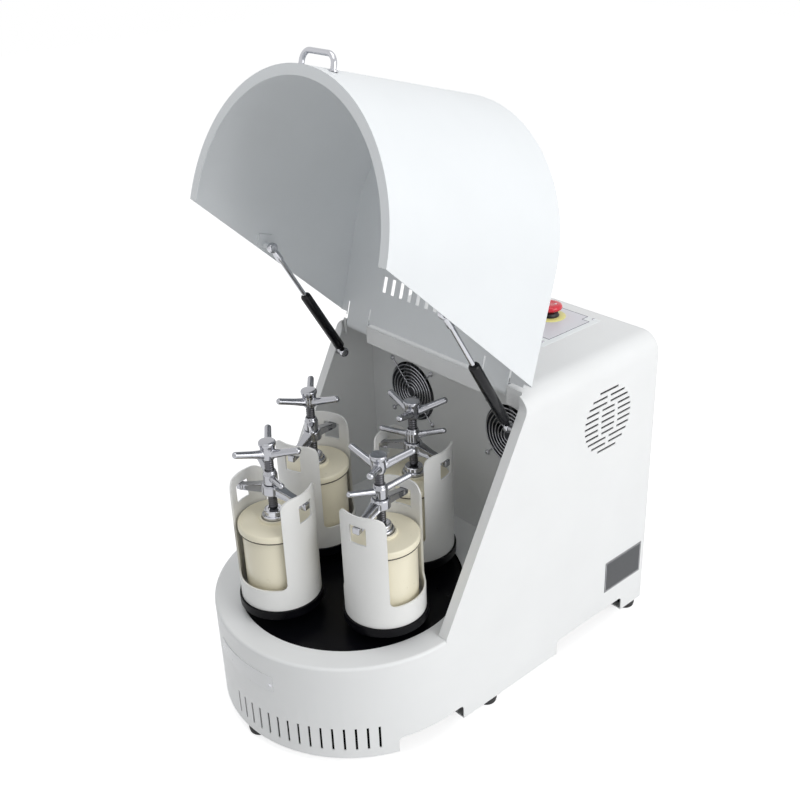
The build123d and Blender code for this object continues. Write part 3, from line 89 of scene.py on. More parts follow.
# %% [markdown]
# ## The studio
#
# The mill stands on a white floor in front of a white backdrop. A white room can be built from planes, but then the
# walls colour every reflection. Here the world itself is white for the camera and for reflections, and a calm grey
# for the light it gives, so the lamps set the modelling.

# %% The white room
DAYLIGHT = 0.44
FLOOR_LIFT = 0.7


def seen_directly(nodes, links):
    # One where a ray comes from the camera, a mirror or glass, else zero.
    path = nodes.new("ShaderNodeLightPath")
    first = nodes.new("ShaderNodeMath")
    first.operation = "MAXIMUM"
    links.new(path.outputs["Is Camera Ray"], first.inputs[0])
    links.new(path.outputs["Is Glossy Ray"], first.inputs[1])
    both = nodes.new("ShaderNodeMath")
    both.operation = "MAXIMUM"
    links.new(first.outputs[0], both.inputs[0])
    links.new(path.outputs["Is Transmission Ray"], both.inputs[1])
    return both.outputs[0]


world = bpy.data.worlds.new("white_room")
bpy.context.scene.world = world
world.use_nodes = True
sky = world.node_tree
sky.nodes.clear()
dim = sky.nodes.new("ShaderNodeBackground")
dim.inputs["Color"].default_value = (0.97, 0.985, 1.0, 1)
dim.inputs["Strength"].default_value = DAYLIGHT
white = sky.nodes.new("ShaderNodeBackground")
white.inputs["Color"].default_value = (1, 1, 1, 1)
white.inputs["Strength"].default_value = 1.0
choose = sky.nodes.new("ShaderNodeMixShader")
sky.links.new(seen_directly(sky.nodes, sky.links), choose.inputs["Fac"])
sky.links.new(dim.outputs[0], choose.inputs[1])
sky.links.new(white.outputs[0], choose.inputs[2])
sky_out = sky.nodes.new("ShaderNodeOutputWorld")
sky.links.new(choose.outputs[0], sky_out.inputs["Surface"])
print("daylight:", DAYLIGHT)

# %% The floor
floor_finish = bpy.data.materials.new("studio_floor")
floor_finish.use_nodes = True
tree = floor_finish.node_tree
tree.nodes.clear()
matt = tree.nodes.new("ShaderNodeBsdfDiffuse")
matt.inputs["Color"].default_value = (0.72, 0.72, 0.72, 1)
lift = tree.nodes.new("ShaderNodeEmission")
lift.inputs["Strength"].default_value = FLOOR_LIFT
nothing = tree.nodes.new("ShaderNodeEmission")
nothing.inputs["Strength"].default_value = 0.0
lifted = tree.nodes.new("ShaderNodeMixShader")
tree.links.new(seen_directly(tree.nodes, tree.links), lifted.inputs["Fac"])
tree.links.new(nothing.outputs[0], lifted.inputs[1])
tree.links.new(lift.outputs[0], lifted.inputs[2])
total = tree.nodes.new("ShaderNodeAddShader")
tree.links.new(matt.outputs[0], total.inputs[0])
tree.links.new(lifted.outputs[0], total.inputs[1])
floor_out = tree.nodes.new("ShaderNodeOutputMaterial")
tree.links.new(total.outputs[0], floor_out.inputs["Surface"])

bpy.ops.mesh.primitive_plane_add(size=14, location=(0, 0, -0.0004))
floor = bpy.context.object
floor.name = "studio_floor"
bpy.ops.object.transform_apply(location=True)
floor.data.materials.append(floor_finish)
print("floor:", floor.name)

# %% [markdown]
# ## The lamps
#
# The photograph is lit by large soft boxes: the broad side of the case and the outside of the hood are the
# brightest, the drum is a little greyer and the chamber is in soft shade. Area lamps stand in for the boxes.

# %% Soft boxes


def soft_box(name, place, aim, size, power):
    place = Vector(place)
    bpy.ops.object.light_add(type="AREA", location=place)
    lamp = bpy.context.object
    lamp.name = name
    lamp.data.shape = "SQUARE"
    lamp.data.size = size
    lamp.data.energy = power
    lamp.rotation_euler = (Vector(aim) - place).to_track_quat("-Z", "Y").to_euler()
    return lamp


soft_box("box_right", (3.0, 0.4, 1.5), (0, 0, 0.5), 2.4, 51)
soft_box("box_front", (-0.6, -3.2, 2.2), (0, -0.1, 0.5), 2.2, 1)
soft_box("box_left", (-2.8, -1.2, 1.8), (0, -0.1, 0.6), 2.0, 1)
soft_box("box_top", (0.2, -0.3, 3.4), (0, -0.1, 0.3), 2.6, 26)

# %% [markdown]
# ## Finishes
#
# Every surface of the mill is a finish: powder coat with its fine orange peel, glazed ceramic, polished cast
# steel, gloss paint. A few of them also carry painted shade or a painted reflection in their colour, as noted where
# they are made. Each could be painted on an image, but a small net of nodes is sharper at any distance and is
# easy to tune: one soft noise varies the colour from patch to patch, a fine noise gives the grain as a bump, and a
# third varies the gloss.

# %% A finish


def paint(red, green, blue):
    # Screen colours from 0 to 255 as the linear values that shaders take.
    return tuple(((c / 255 + 0.055) / 1.055) ** 2.4 if c > 10 else c / 255 / 12.92 for c in (red, green, blue))


def finish(name, colour, gloss, metal=0.0, grain=900.0, relief=0.02, patch=9.0, drift=0.03, coat=0.0, soft=0.0006, shine=0.5):
    material = bpy.data.materials.new(name)
    material.use_nodes = True
    nodes, links = material.node_tree.nodes, material.node_tree.links
    shader = nodes["Principled BSDF"]
    shader.inputs["Metallic"].default_value = metal
    shader.inputs["Coat Weight"].default_value = coat
    shader.inputs["Specular IOR Level"].default_value = shine
    place = nodes.new("ShaderNodeTexCoord")
    patches = nodes.new("ShaderNodeTexNoise")
    patches.inputs["Scale"].default_value = patch
    patches.inputs["Detail"].default_value = 4.0
    links.new(place.outputs["Object"], patches.inputs["Vector"])
    shades = nodes.new("ShaderNodeMix")
    shades.data_type = "RGBA"
    shades.inputs["A"].default_value = (*[c * (1 - drift) for c in colour], 1)
    shades.inputs["B"].default_value = (*[min(1.0, c * (1 + drift)) for c in colour], 1)
    links.new(patches.outputs["Fac"], shades.inputs["Factor"])
    links.new(shades.outputs["Result"], shader.inputs["Base Color"])
    spots = nodes.new("ShaderNodeTexNoise")
    spots.inputs["Scale"].default_value = patch * 6
    links.new(place.outputs["Object"], spots.inputs["Vector"])
    polish = nodes.new("ShaderNodeMapRange")
    polish.inputs["To Min"].default_value = gloss * 0.8
    polish.inputs["To Max"].default_value = gloss * 1.2
    links.new(spots.outputs["Fac"], polish.inputs["Value"])
    links.new(polish.outputs["Result"], shader.inputs["Roughness"])
    peel = nodes.new("ShaderNodeTexNoise")
    peel.inputs["Scale"].default_value = grain
    peel.inputs["Detail"].default_value = 2.0
    links.new(place.outputs["Object"], peel.inputs["Vector"])
    bump = nodes.new("ShaderNodeBump")
    bump.inputs["Strength"].default_value = 1.0
    bump.inputs["Distance"].default_value = relief / 1000
    links.new(peel.outputs["Fac"], bump.inputs["Height"])
    if soft:
        edge = nodes.new("ShaderNodeBevel")
        edge.samples = 4
        edge.inputs["Radius"].default_value = soft
        links.new(edge.outputs["Normal"], bump.inputs["Normal"])
    links.new(bump.outputs["Normal"], shader.inputs["Normal"])
    return material


white_coat = finish("white_powder_coat", paint(240, 241, 241), 0.42)
hood_coat = finish("hood_powder_coat", paint(238, 241, 243), 0.42)
holder_coat = finish("holder_powder_coat", paint(238, 238, 236), 0.38, patch=20.0)
black_gloss = finish("black_gloss_paint", paint(12, 13, 18), 0.24, coat=0.05, relief=0.008, drift=0.2, shine=0.25)
seat_black = finish("seat_black_paint", paint(8, 8, 12), 0.3, relief=0.006, drift=0.15, shine=0.12)
# The hidden base frame is a real part, but its black is painted shade: it keeps the vents as dark as the shade inside
# the closed case.
frame_black_as_vent_shade = finish("frame_paint_vent_shade", paint(26, 26, 29), 0.55, drift=0.1, shine=0.3, soft=0)
rubber_black = finish("foot_rubber", paint(34, 34, 36), 0.72, grain=1500.0, relief=0.05, drift=0.15, soft=0)
cream_glaze = finish("cream_ceramic", paint(243, 236, 212), 0.3, grain=300.0, relief=0.012, patch=24.0, drift=0.02, soft=0)
# A black sheet behind the vents: painted shade for the dark inside of the case.
vent_shade_black = finish("vent_painted_shade_sheet", paint(16, 16, 18), 0.9, grain=1200.0, relief=0.2, drift=0.2, shine=0.1, soft=0)
seal_grey = finish("jar_seal_rubber", paint(96, 92, 84), 0.7, relief=0.01, drift=0.1, soft=0)
# The two polished metals get a base colour darker than bare steel and chrome: a painted reflection, the average tone of
# the black turntable and the dark surroundings they mirror.
cast_steel_painted_reflection = finish("polished_cast_steel_painted_reflection", paint(168, 169, 174), 0.13, metal=1.0, grain=160.0, relief=0.05, soft=0)
chrome_painted_reflection = finish("chrome_painted_reflection", paint(190, 191, 196), 0.07, metal=1.0, grain=120.0, relief=0.006, soft=0)
dark_steel = finish("oiled_dark_steel", paint(92, 92, 96), 0.3, metal=1.0, grain=600.0, relief=0.02, drift=0.12, soft=0)
plain_steel = finish("plain_steel", paint(170, 171, 175), 0.32, metal=1.0, grain=700.0, relief=0.02)
black_moulding = finish("black_moulding", paint(26, 26, 29), 0.45, relief=0.02, drift=0.12, soft=0)
fan_moulding = finish("fan_moulding", paint(80, 82, 86), 0.5, relief=0.02, drift=0.1, soft=0)
stop_red = finish("stop_red_moulding", paint(214, 30, 52), 0.24, grain=500.0, relief=0.01, patch=30.0, coat=0.3, soft=0)
stop_yellow = finish("stop_yellow_moulding", paint(236, 232, 150), 0.42, relief=0.01, patch=30.0, soft=0)
panel_rim = finish("panel_plate_coat", paint(236, 239, 240), 0.36, relief=0.01, patch=14.0, drift=0.02)
panel_face = finish("panel_film", paint(226, 226, 232), 0.36, grain=1400.0, relief=0.01, patch=14.0, drift=0.02)
# A dark line along the edge of the panel film.
panel_edge_line = finish("panel_edge_line", paint(92, 95, 108), 0.4, relief=0.006, patch=40.0, drift=0.06, soft=0)
panel_key = finish("panel_key_film", paint(176, 182, 205), 0.36, relief=0.008, patch=40.0, soft=0)
window_glass = finish("panel_window_glass", paint(38, 44, 52), 0.12, relief=0.004, patch=20.0, drift=0.1, coat=0.5)
zinc_sheet = finish("zinc_sheet", paint(176, 178, 178), 0.4, metal=0.9, grain=200.0, relief=0.03, drift=0.1)
grey_casting = finish("grey_casting", paint(110, 111, 114), 0.62, metal=0.4, grain=500.0, relief=0.12, drift=0.12)
pulley_alloy = finish("pulley_alloy", paint(190, 191, 194), 0.34, metal=1.0, grain=500.0)
print("finishes:", len(bpy.data.materials))

# %% Finishes of the frame's own pieces
FRAME_FINISHES = {
    white_coat: ["body_shell", "chamber_back_wall", "rear_panel"],
    hood_coat: ["lid_shell"],
    black_gloss: ["motor", "gas_cylinder_left", "gas_cylinder_right"],
    seat_black: ["turntable"],
    # The base frame's black is painted shade for the vents.
    frame_black_as_vent_shade: ["base_frame"],
    rubber_black: ["rubber_feet", "drive_belt"],
    stop_yellow: ["estop_collar"],
    stop_red: ["estop_button"],
    plain_steel: ["hinge_rod", "spring_studs", "main_shaft"],
    fan_moulding: ["fan_frames", "fan_rotor_left", "fan_rotor_right"],
    black_moulding: ["power_inlet"],
    chrome_painted_reflection: ["fan_guards", "lid_handle", "gas_rod_left", "gas_rod_right"],
    grey_casting: ["sun_gear"],
    zinc_sheet: ["electrical_box"],
    pulley_alloy: ["motor_pulley"],
}
STATION_FINISHES = {
    seat_black: "planet_gear",
    holder_coat: "jar_sleeve",
    cast_steel_painted_reflection: "clamp_beam",
    chrome_painted_reflection: "press_foot",
}


def dress(node, coat):
    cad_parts[node].data.materials.clear()
    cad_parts[node].data.materials.append(coat)


for coat, nodes in FRAME_FINISHES.items():
    for node in nodes:
        dress(node, coat)
for coat, kind in STATION_FINISHES.items():
    for number in range(1, 5):
        dress(kind + "_" + str(number), coat)
print("dressed:", sum(len(nodes) for nodes in FRAME_FINISHES.values()) + 16)

# %% [markdown]
# ## Turned pieces
#
# Jars, lids, feet, knobs and hubs are all round. They could be spun from a drawn profile. Here a disc is pulled up
# ring by ring instead, as on a lathe seen from above, because each step is then just a radius and a height, and a
# bevel rounds the corners afterwards.

# %% Pulling a disc up
MM = 0.001


def hold(piece):
    bpy.ops.object.select_all(action="DESELECT")
    piece.select_set(True)
    bpy.context.view_layer.objects.active = piece
    return piece


def modify(piece, kind, **settings):
    hold(piece)
    bpy.ops.object.modifier_add(type=kind)
    modifier = piece.modifiers[-1]
    for key, value in settings.items():
        setattr(modifier, key, value)
    bpy.ops.object.modifier_apply(modifier=modifier.name)
    return piece


def smooth(piece, angle=38):
    hold(piece)
    bpy.ops.object.shade_smooth_by_angle(angle=math.radians(angle))
    return piece


def soften(piece, width, segments=3, angle=35):
    modify(piece, "BEVEL", width=width * MM, segments=segments, limit_method="ANGLE", angle_limit=math.radians(angle))
    return smooth(piece)


def turn_up(name, steps, sides=64):
    bpy.ops.object.select_all(action="DESELECT")
    radius, height = steps[0]
    bpy.ops.mesh.primitive_circle_add(vertices=sides, radius=radius * MM, fill_type="NGON", location=(0, 0, height * MM))
    piece = bpy.context.object
    piece.name = name
    bpy.ops.object.transform_apply(location=True)
    bpy.ops.object.mode_set(mode="EDIT")
    bpy.ops.mesh.select_all(action="SELECT")
    for wider, higher in steps[1:]:
        bpy.ops.mesh.extrude_region_move(TRANSFORM_OT_translate={"value": (0, 0, (higher - height) * MM)})
        grow = wider / radius
        bpy.ops.transform.resize(value=(grow, grow, 1), center_override=(0, 0, higher * MM))
        radius, height = wider, higher
    bpy.ops.mesh.select_all(action="SELECT")
    bpy.ops.mesh.normals_make_consistent(inside=False)
    bpy.ops.object.mode_set(mode="OBJECT")
    return piece


def round_end(radius, height, steps=5):
    # Rings of a ball end that closes a bar at a height.
    turns = [math.radians(90 * k / steps) for k in range(1, steps)]
    return [(radius * math.cos(t), height - radius + radius * math.sin(t)) for t in turns] + [(radius * 0.08, height)]


def copy_of(piece, name):
    twin = piece.copy()
    twin.data = piece.data.copy()
    twin.name = name
    bpy.context.collection.objects.link(twin)
    return twin


def put(piece, place):
    piece.data.transform(place)
    return piece


def fit(piece, body, coat, stands_for=()):
    piece.data.materials.clear()
    piece.data.materials.append(coat)
    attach(piece, body)
    if stands_for:
        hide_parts(*stands_for)
    return piece


# Where each station stands, and how its holder, nut and handle are turned.
WALL_ANGLES = [16.0, -74.5, 13.0, -70.0]
NUT_ANGLES = [-16.0, 78.0, 39.0, -35.0]
GRIP_ANGLES = [23.0, 67.0, 57.0, 19.0]
stations = []
for number in range(1, 5):
    low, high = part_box("jar_" + str(number))
    stations.append(Vector(((low.x + high.x) / 2, (low.y + high.y) / 2, 0)))
print("stations:", [tuple(round(v, 3) for v in s[:2]) for s in stations])


def stand_at(pattern, kind, body, angles, coat):
    # A copy of the pattern at each of the four stations.
    for index, spot in enumerate(stations):
        twin = copy_of(pattern, kind + "_dressed_" + str(index + 1))
        put(twin, Matrix.Translation(spot) @ Matrix.Rotation(math.radians(angles[index]), 4, "Z"))
        fit(twin, body + "_" + str(index + 1), coat, [kind + "_" + str(index + 1)])
    bpy.data.objects.remove(pattern)


# %% [markdown]
# ## The grinding jars
#
# A jar is a thick ceramic pot with a matt cream glaze. The wall is pulled up outside, over the rim and down again
# inside, so the pot is really hollow. Its lid overhangs the pot by a few millimetres and carries a raised ring
# that keeps the pressure foot in the middle.

# %% Jars
NO_TURN = [0.0, 0.0, 0.0, 0.0]
jar_low, jar_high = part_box("jar_1")
jar_floor, jar_rim = jar_low.z / MM, jar_high.z / MM
jar = turn_up("jar_pattern", [
    (51.0, jar_floor), (54.5, jar_floor + 3.5), (54.5, jar_rim), (46.0, jar_rim), (46.0, jar_floor + 14.0), (42.0, jar_floor + 10.0),
], sides=96)
soften(jar, 1.2)
stand_at(jar, "jar", "station", NO_TURN, cream_glaze)
lid_top = jar_rim + 12.0
cover = turn_up("jar_lid_pattern", [
    (58.8, jar_rim), (60.0, jar_rim + 1.2), (60.0, lid_top - 2.6), (58.6, lid_top - 0.4), (57.0, lid_top),
    (24.5, lid_top), (24.5, lid_top + 5.0), (20.7, lid_top + 5.0), (20.7, lid_top - 4.0),
], sides=96)
soften(cover, 0.7)
stand_at(cover, "jar_lid", "station", NO_TURN, cream_glaze)
seal = turn_up("seal_pattern", [(55.0, jar_rim - 1.3), (59.7, jar_rim - 1.3), (59.9, jar_rim - 0.1), (55.0, jar_rim - 0.1)], sides=96)
smooth(seal, 30)
for index, spot in enumerate(stations):
    fit(put(copy_of(seal, "jar_seal_" + str(index + 1)), Matrix.Translation(spot)), "station_" + str(index + 1), seal_grey)
bpy.data.objects.remove(seal)
print("jars:", round(jar_rim - jar_floor, 1), "mm tall")

# %% [markdown]
# ## The clamps
#
# Over each jar a cast beam hooks into the two slots of the holder. A threaded spindle with a three-armed handle
# passes through it and presses a chromed foot on the lid, and a two-armed nut locks it. The cast pieces flow into
# one another, so the plain arms and hubs are joined, remeshed to one skin and relaxed, which leaves the soft
# fillets of a casting.

# %% Pressure feet
foot_low, foot_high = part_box("press_foot_1")
foot_base, foot_top = foot_low.z / MM, foot_high.z / MM
foot = turn_up("press_foot_pattern", [
    (18.5, foot_base), (19.5, foot_base + 1.0), (19.5, foot_base + 12.6), (18.2, foot_base + 14.0), (15.5, foot_base + 14.0),
    (15.5, foot_top - 1.4), (14.0, foot_top), (9.2, foot_top), (8.4, foot_top - 1.6),
])
soften(foot, 0.4, segments=2)
stand_at(foot, "press_foot", "foot", NO_TURN, chrome_painted_reflection)


# %% Casting helper
def cast(pieces, voxel, relax, keep):
    hold(pieces[0])
    for piece in pieces:
        piece.select_set(True)
    if len(pieces) > 1:
        bpy.ops.object.join()
    whole = bpy.context.object
    modify(whole, "REMESH", mode="VOXEL", voxel_size=voxel * MM)
    modify(whole, "SMOOTH", factor=0.5, iterations=relax)
    modify(whole, "DECIMATE", ratio=keep)
    hold(whole)
    bpy.ops.object.shade_smooth()
    return whole


def lay_along(piece, degrees, height, rise=0.0):
    # An upright bar is laid down, pointing away from the spindle and up by a few degrees.
    put(piece, Matrix.Rotation(math.pi / 2 - math.radians(rise), 4, "Y"))
    put(piece, Matrix.Rotation(math.radians(degrees), 4, "Z"))
    return put(piece, Matrix.Translation((0, 0, height * MM)))


# %% Handles
grip_low, grip_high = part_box("clamp_screw_1")
grip_top = grip_high.z / MM
hub = turn_up("grip_hub", [
    (9.2, 475.0), (10.6, 476.5), (11.7, 483.0), (11.7, 491.0), (12.4, 497.0), (14.0, 501.0), (14.0, 504.6), (12.8, grip_top - 0.5), (7.0, grip_top),
], sides=48)
arms = []
for k in range(3):
    arm = turn_up("grip_arm", [(7.4, 4.0), (6.9, 16.0), (6.0, 30.0), (5.7, 50.0)] + round_end(5.9, 63.0), sides=20)
    arms.append(lay_along(arm, 120 * k, 482.5, rise=18.0))
grip = cast([hub] + arms, 0.7, 3, 0.3)
grip.name = "grip_pattern"
print("handle:", len(grip.data.polygons), "faces")

# %% Threaded spindle
spindle_base = grip_low.z / MM
PITCH = 4.0
bpy.ops.object.select_all(action="DESELECT")
bpy.ops.mesh.primitive_plane_add(size=PITCH * MM, location=(7.2 * MM, 0, (spindle_base + PITCH) * MM), rotation=(math.pi / 2, 0, 0))
thread = bpy.context.object
thread.name = "thread_pattern"
bpy.ops.object.transform_apply(location=True, rotation=True)
bpy.ops.object.mode_set(mode="EDIT")
bpy.ops.mesh.select_all(action="SELECT")
bpy.ops.mesh.delete(type="ONLY_FACE")
bpy.ops.object.mode_set(mode="OBJECT")
for vertex in thread.data.vertices:
    top = vertex.co.z > (spindle_base + PITCH) * MM
    outer = vertex.co.x > 7.2 * MM
    vertex.co.x = (7.5 if outer else 6.8) * MM
    vertex.co.z = (spindle_base + (3.0 if top else 2.0) + (0.0 if outer else (0.9 if top else -0.9))) * MM
turns = int((474.0 - spindle_base) / PITCH)
modify(thread, "SCREW", steps=24, render_steps=24, iterations=turns, screw_offset=PITCH * MM, use_normal_calculate=True)
core = turn_up("core_pattern", [(6.4, spindle_base), (6.9, spindle_base + 0.8), (6.9, 478.0)], sides=32)
hold(core)
thread.select_set(True)
bpy.ops.object.join()
spindle = smooth(core, 50)
print("thread turns:", turns)

# %% Handles and spindles at the stations
for index, spot in enumerate(stations):
    place = Matrix.Translation(spot) @ Matrix.Rotation(math.radians(GRIP_ANGLES[index]), 4, "Z")
    number = str(index + 1)
    fit(put(copy_of(grip, "grip_" + number), place), "screw_" + number, cast_steel_painted_reflection, ["clamp_screw_" + number])
    fit(put(copy_of(spindle, "spindle_" + number), place), "screw_" + number, dark_steel)
bpy.data.objects.remove(grip)
bpy.data.objects.remove(spindle)

# %% Locking nuts
BEAM_LIFT = 15.0
NUT_LIFT = 8.7
nut_low, nut_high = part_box("lock_nut_1")
nut_base, nut_top = nut_low.z / MM + NUT_LIFT, nut_high.z / MM + 4.7
nut_middle = (nut_base + nut_top) / 2 - 1.5
nut_hub = turn_up("nut_hub", [
    (11.2, nut_base), (11.7, nut_base + 1.0), (11.7, nut_base + 17.0), (10.6, nut_base + 19.0), (9.8, nut_top - 1.0), (9.2, nut_top),
    (7.9, nut_top), (7.9, nut_top - 2.0),
], sides=48)
nut_arms = []
for k in range(2):
    arm = turn_up("nut_arm", [(6.3, 5.0), (5.7, 14.0), (5.0, 24.0), (4.9, 46.0)] + round_end(5.1, 58.0), sides=20)
    nut_arms.append(lay_along(arm, 180 * k, nut_middle, rise=12.0))
nut = cast([nut_hub] + nut_arms, 0.7, 2, 0.3)
stand_at(nut, "lock_nut", "nut", NUT_ANGLES, cast_steel_painted_reflection)
print("nut reach:", 58.0, "mm")

# %% Beams
beam_low, beam_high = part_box("clamp_beam_1")
hub_base, hub_top = beam_low.z / MM + BEAM_LIFT, beam_high.z / MM + NUT_LIFT
bpy.ops.object.select_all(action="DESELECT")
bpy.ops.mesh.primitive_cube_add(size=1, location=(0, 0, (hub_base + hub_top) / 2 * MM))
arm = bpy.context.object
arm.name = "beam_arms"
arm.scale = (20 * MM, 20 * MM, 15 * MM)
bpy.ops.object.transform_apply(location=True, scale=True)


def pick_faces(piece, test):
    # Leaves only the faces selected whose normal and middle pass the test.
    hold(piece)
    bpy.ops.object.mode_set(mode="EDIT")
    bpy.ops.mesh.select_mode(type="FACE")
    bpy.ops.mesh.select_all(action="DESELECT")
    bpy.ops.object.mode_set(mode="OBJECT")
    for face in piece.data.polygons:
        face.select = test(face.normal, face.center)
    bpy.ops.object.mode_set(mode="EDIT")


def bore(piece, radius, low, high):
    drill = turn_up("drill", [(radius, low), (radius, high)], sides=48)
    modify(piece, "BOOLEAN", object=drill, operation="DIFFERENCE", solver="EXACT")
    bpy.data.objects.remove(drill)
    return smooth(piece)


for side in (-1, 1):
    pick_faces(arm, lambda n, c: n.x * side > 0.9)
    spot, breadth, depth = Vector((side * 10, 0, (hub_base + hub_top) / 2)), 20.0, 15.0
    for reach, height, wide, tall in ((34, 414.8, 14.0, 13.5), (61, 407.7, 12.5, 11.4), (69.6, 407.7, 12.5, 11.4)):
        step = Vector((side * reach - spot.x, 0, height - spot.z)) * MM
        bpy.ops.mesh.extrude_region_move(TRANSFORM_OT_translate={"value": step})
        spot = Vector((side * reach, 0, height))
        bpy.ops.transform.resize(value=(1, wide / breadth, tall / depth), center_override=spot * MM)
        breadth, depth = wide, tall
    bpy.ops.object.mode_set(mode="OBJECT")
pick_faces(arm, lambda n, c: abs(n.y) > 0.7 and 12 * MM < abs(c.x) < 60 * MM)
bpy.ops.mesh.inset(thickness=2.6 * MM, depth=-2.6 * MM)
bpy.ops.object.mode_set(mode="OBJECT")
soften(arm, 1.2, segments=2, angle=20)
ring = turn_up("beam_hub", [(14.6, hub_base), (16.0, hub_base + 1.6), (15.4, hub_top - 2.0), (13.8, hub_top - 0.2)], sides=48)
beam = cast([arm, ring], 0.8, 4, 0.25)
bore(beam, 8.3, hub_base - 2, hub_top + 2)
stand_at(beam, "clamp_beam", "station", WALL_ANGLES, cast_steel_painted_reflection)
print("beam reach:", 69.6, "mm")

# %% [markdown]
# ## The rubber feet
#
# Five round feet carry the case. Each is a short rubber drum with a softened rim, pulled up like the jars.

# %% Feet
feet_low, feet_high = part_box("rubber_feet")
inset = 19.0
foot_spots = [(1.0 * MM, feet_low.y + 17.0 * MM)]
for x in (feet_low.x + inset * MM, feet_high.x - inset * MM):
    foot_spots += [(x, -32.0 * MM), (x, feet_high.y - inset * MM)]
pattern = turn_up("foot_pattern", [(16.4, 0.0), (17.6, 1.0), (18.6, 6.0), (19.0, 12.0), (18.6, 16.0)], sides=48)
soften(pattern, 0.8)
feet = []
for spot in foot_spots:
    feet.append(put(copy_of(pattern, "foot_copy"), Matrix.Translation((*spot, 0))))
bpy.data.objects.remove(pattern)
hold(feet[0])
for piece in feet:
    piece.select_set(True)
bpy.ops.object.join()
feet[0].name = "feet_dressed"
fit(feet[0], "case", rubber_black, ["rubber_feet"])
print("feet:", len(foot_spots))

# %% [markdown]
# ## Dark sheets behind the vents
#
# The vents of the case show black, from the shade inside the case. A thin black sheet stands behind them as painted
# shade for it. The one in the drum is the front part of a ring. A whole ring is drawn, a bisect cuts it, and Solidify
# gives it its thickness.

# %% Dark sheets as vent shade
DRUM = Vector((0, -140.0, 0)) * MM
bpy.ops.object.select_all(action="DESELECT")
bpy.ops.mesh.primitive_circle_add(vertices=96, radius=230.0 * MM, location=DRUM + Vector((0, 0, 27.0)) * MM)
drum_vent_shade = bpy.context.object
drum_vent_shade.name = "drum_vent_shade"
bpy.ops.object.transform_apply(location=True)
bpy.ops.object.mode_set(mode="EDIT")
bpy.ops.mesh.select_mode(type="EDGE")
bpy.ops.mesh.select_all(action="SELECT")
bpy.ops.mesh.extrude_region_move(TRANSFORM_OT_translate={"value": (0, 0, 56.0 * MM)})
bpy.ops.mesh.select_all(action="SELECT")
bpy.ops.mesh.normals_make_consistent(inside=False)
bpy.ops.mesh.bisect(plane_co=DRUM + Vector((0, -110.0, 0)) * MM, plane_no=(0, 1, 0), clear_outer=True)
bpy.ops.object.mode_set(mode="OBJECT")
smooth(modify(drum_vent_shade, "SOLIDIFY", thickness=1.0 * MM, offset=-1.0))
fit(drum_vent_shade, "case", vent_shade_black)
side_vent_shade = turn_up("side_vent_shade", [(63.0, 230.6), (63.5, 231.0), (63.5, 231.9), (63.0, 232.3)], sides=72)
put(side_vent_shade, Matrix.Rotation(math.pi / 2, 4, "Y"))
put(side_vent_shade, Matrix.Translation(Vector((0, 240.0, 450.0)) * MM))
fit(side_vent_shade, "case", vent_shade_black)
print("filter faces:", len(drum_vent_shade.data.polygons), len(side_vent_shade.data.polygons))

# %% [markdown]
# ## The emergency stop
#
# A red mushroom button stands over a black collar on a pale yellow disc. All three are turned.

# %% Emergency stop
stop_low, stop_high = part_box("estop_button")
STOP = Vector(((stop_low.x + stop_high.x) / 2, (stop_low.y + stop_high.y) / 2, 0))
panel_low, panel_high = (Vector(corner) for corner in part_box("control_panel"))
FILM = 0.8
panel_top = panel_low.z / MM + FILM
head_top = stop_high.z / MM - 5.4
disc = turn_up("stop_disc", [(27.6, panel_top), (28.0, panel_top + 0.4), (28.0, panel_top + 1.0), (27.2, panel_top + 1.6)], sides=72)
smooth(disc)
fit(put(disc, Matrix.Translation(STOP)), "case", stop_yellow, ["estop_collar"])
collar = turn_up("stop_collar", [
    (16.4, panel_top + 1.6), (16.8, panel_top + 3.4), (15.0, panel_top + 4.2), (14.6, panel_top + 8.0),
    (13.6, panel_top + 9.0), (7.6, panel_top + 9.0), (7.6, panel_top + 1.8),
], sides=72)
soften(collar, 0.4, segments=2)
fit(put(collar, Matrix.Translation(STOP)), "case", black_moulding)
neck_base = head_top - 10.0
head = turn_up("stop_head", [
    (7.0, panel_top + 7.0), (7.0, neck_base + 2.4), (16.8, neck_base + 2.4), (17.6, neck_base), (20.4, neck_base + 0.2),
    (21.4, neck_base + 1.4), (21.6, neck_base + 4.6), (20.6, head_top - 3.0), (18.6, head_top - 1.4), (14.0, head_top - 0.5),
    (9.0, head_top), (8.0, head_top - 0.5), (3.0, head_top - 0.6),
], sides=72)
smooth(head, 50)
fit(put(head, Matrix.Translation(STOP)), "stop_button", stop_red, ["estop_button"])
for k in range(3):
    bpy.ops.object.select_all(action="DESELECT")
    bpy.ops.mesh.primitive_circle_add(vertices=3, radius=3.0 * MM, fill_type="NGON", location=(10.4 * MM, 0, (head_top - 0.55) * MM))
    arrow = bpy.context.object
    arrow.name = "stop_arrow_" + str(k + 1)
    bpy.ops.object.transform_apply(location=True)
    modify(arrow, "SOLIDIFY", thickness=0.8 * MM, offset=1.0)
    put(arrow, Matrix.Translation(STOP) @ Matrix.Rotation(math.radians(120 * k + 20), 4, "Z"))
    fit(arrow, "stop_button", white_coat)
print("stop at:", tuple(round(v, 3) for v in STOP[:2]))

# %% [markdown]
# ## The control panel
#
# The panel is a film on a plate. A dark line frames it and steps in round a screw at each rear corner. The line
# could be painted by a node, but a thin raised frame stays sharp: a rectangle is cut at the notches, its corner
# faces are deleted, and an inset leaves only the frame.

# %% Panel frame
PANEL = (panel_low + panel_high) / 2
HALF_WIDE = (panel_high.x - panel_low.x) / 2 / MM
HALF_DEEP = (panel_high.y - panel_low.y) / 2 / MM


def level_sheet(name, wide, deep, height):
    bpy.ops.object.select_all(action="DESELECT")
    bpy.ops.mesh.primitive_plane_add(size=1)
    sheet = bpy.context.object
    sheet.name = name
    sheet.scale = (wide * MM, deep * MM, 1)
    bpy.ops.object.transform_apply(scale=True)
    return put(sheet, Matrix.Translation((PANEL.x, PANEL.y, height * MM)))


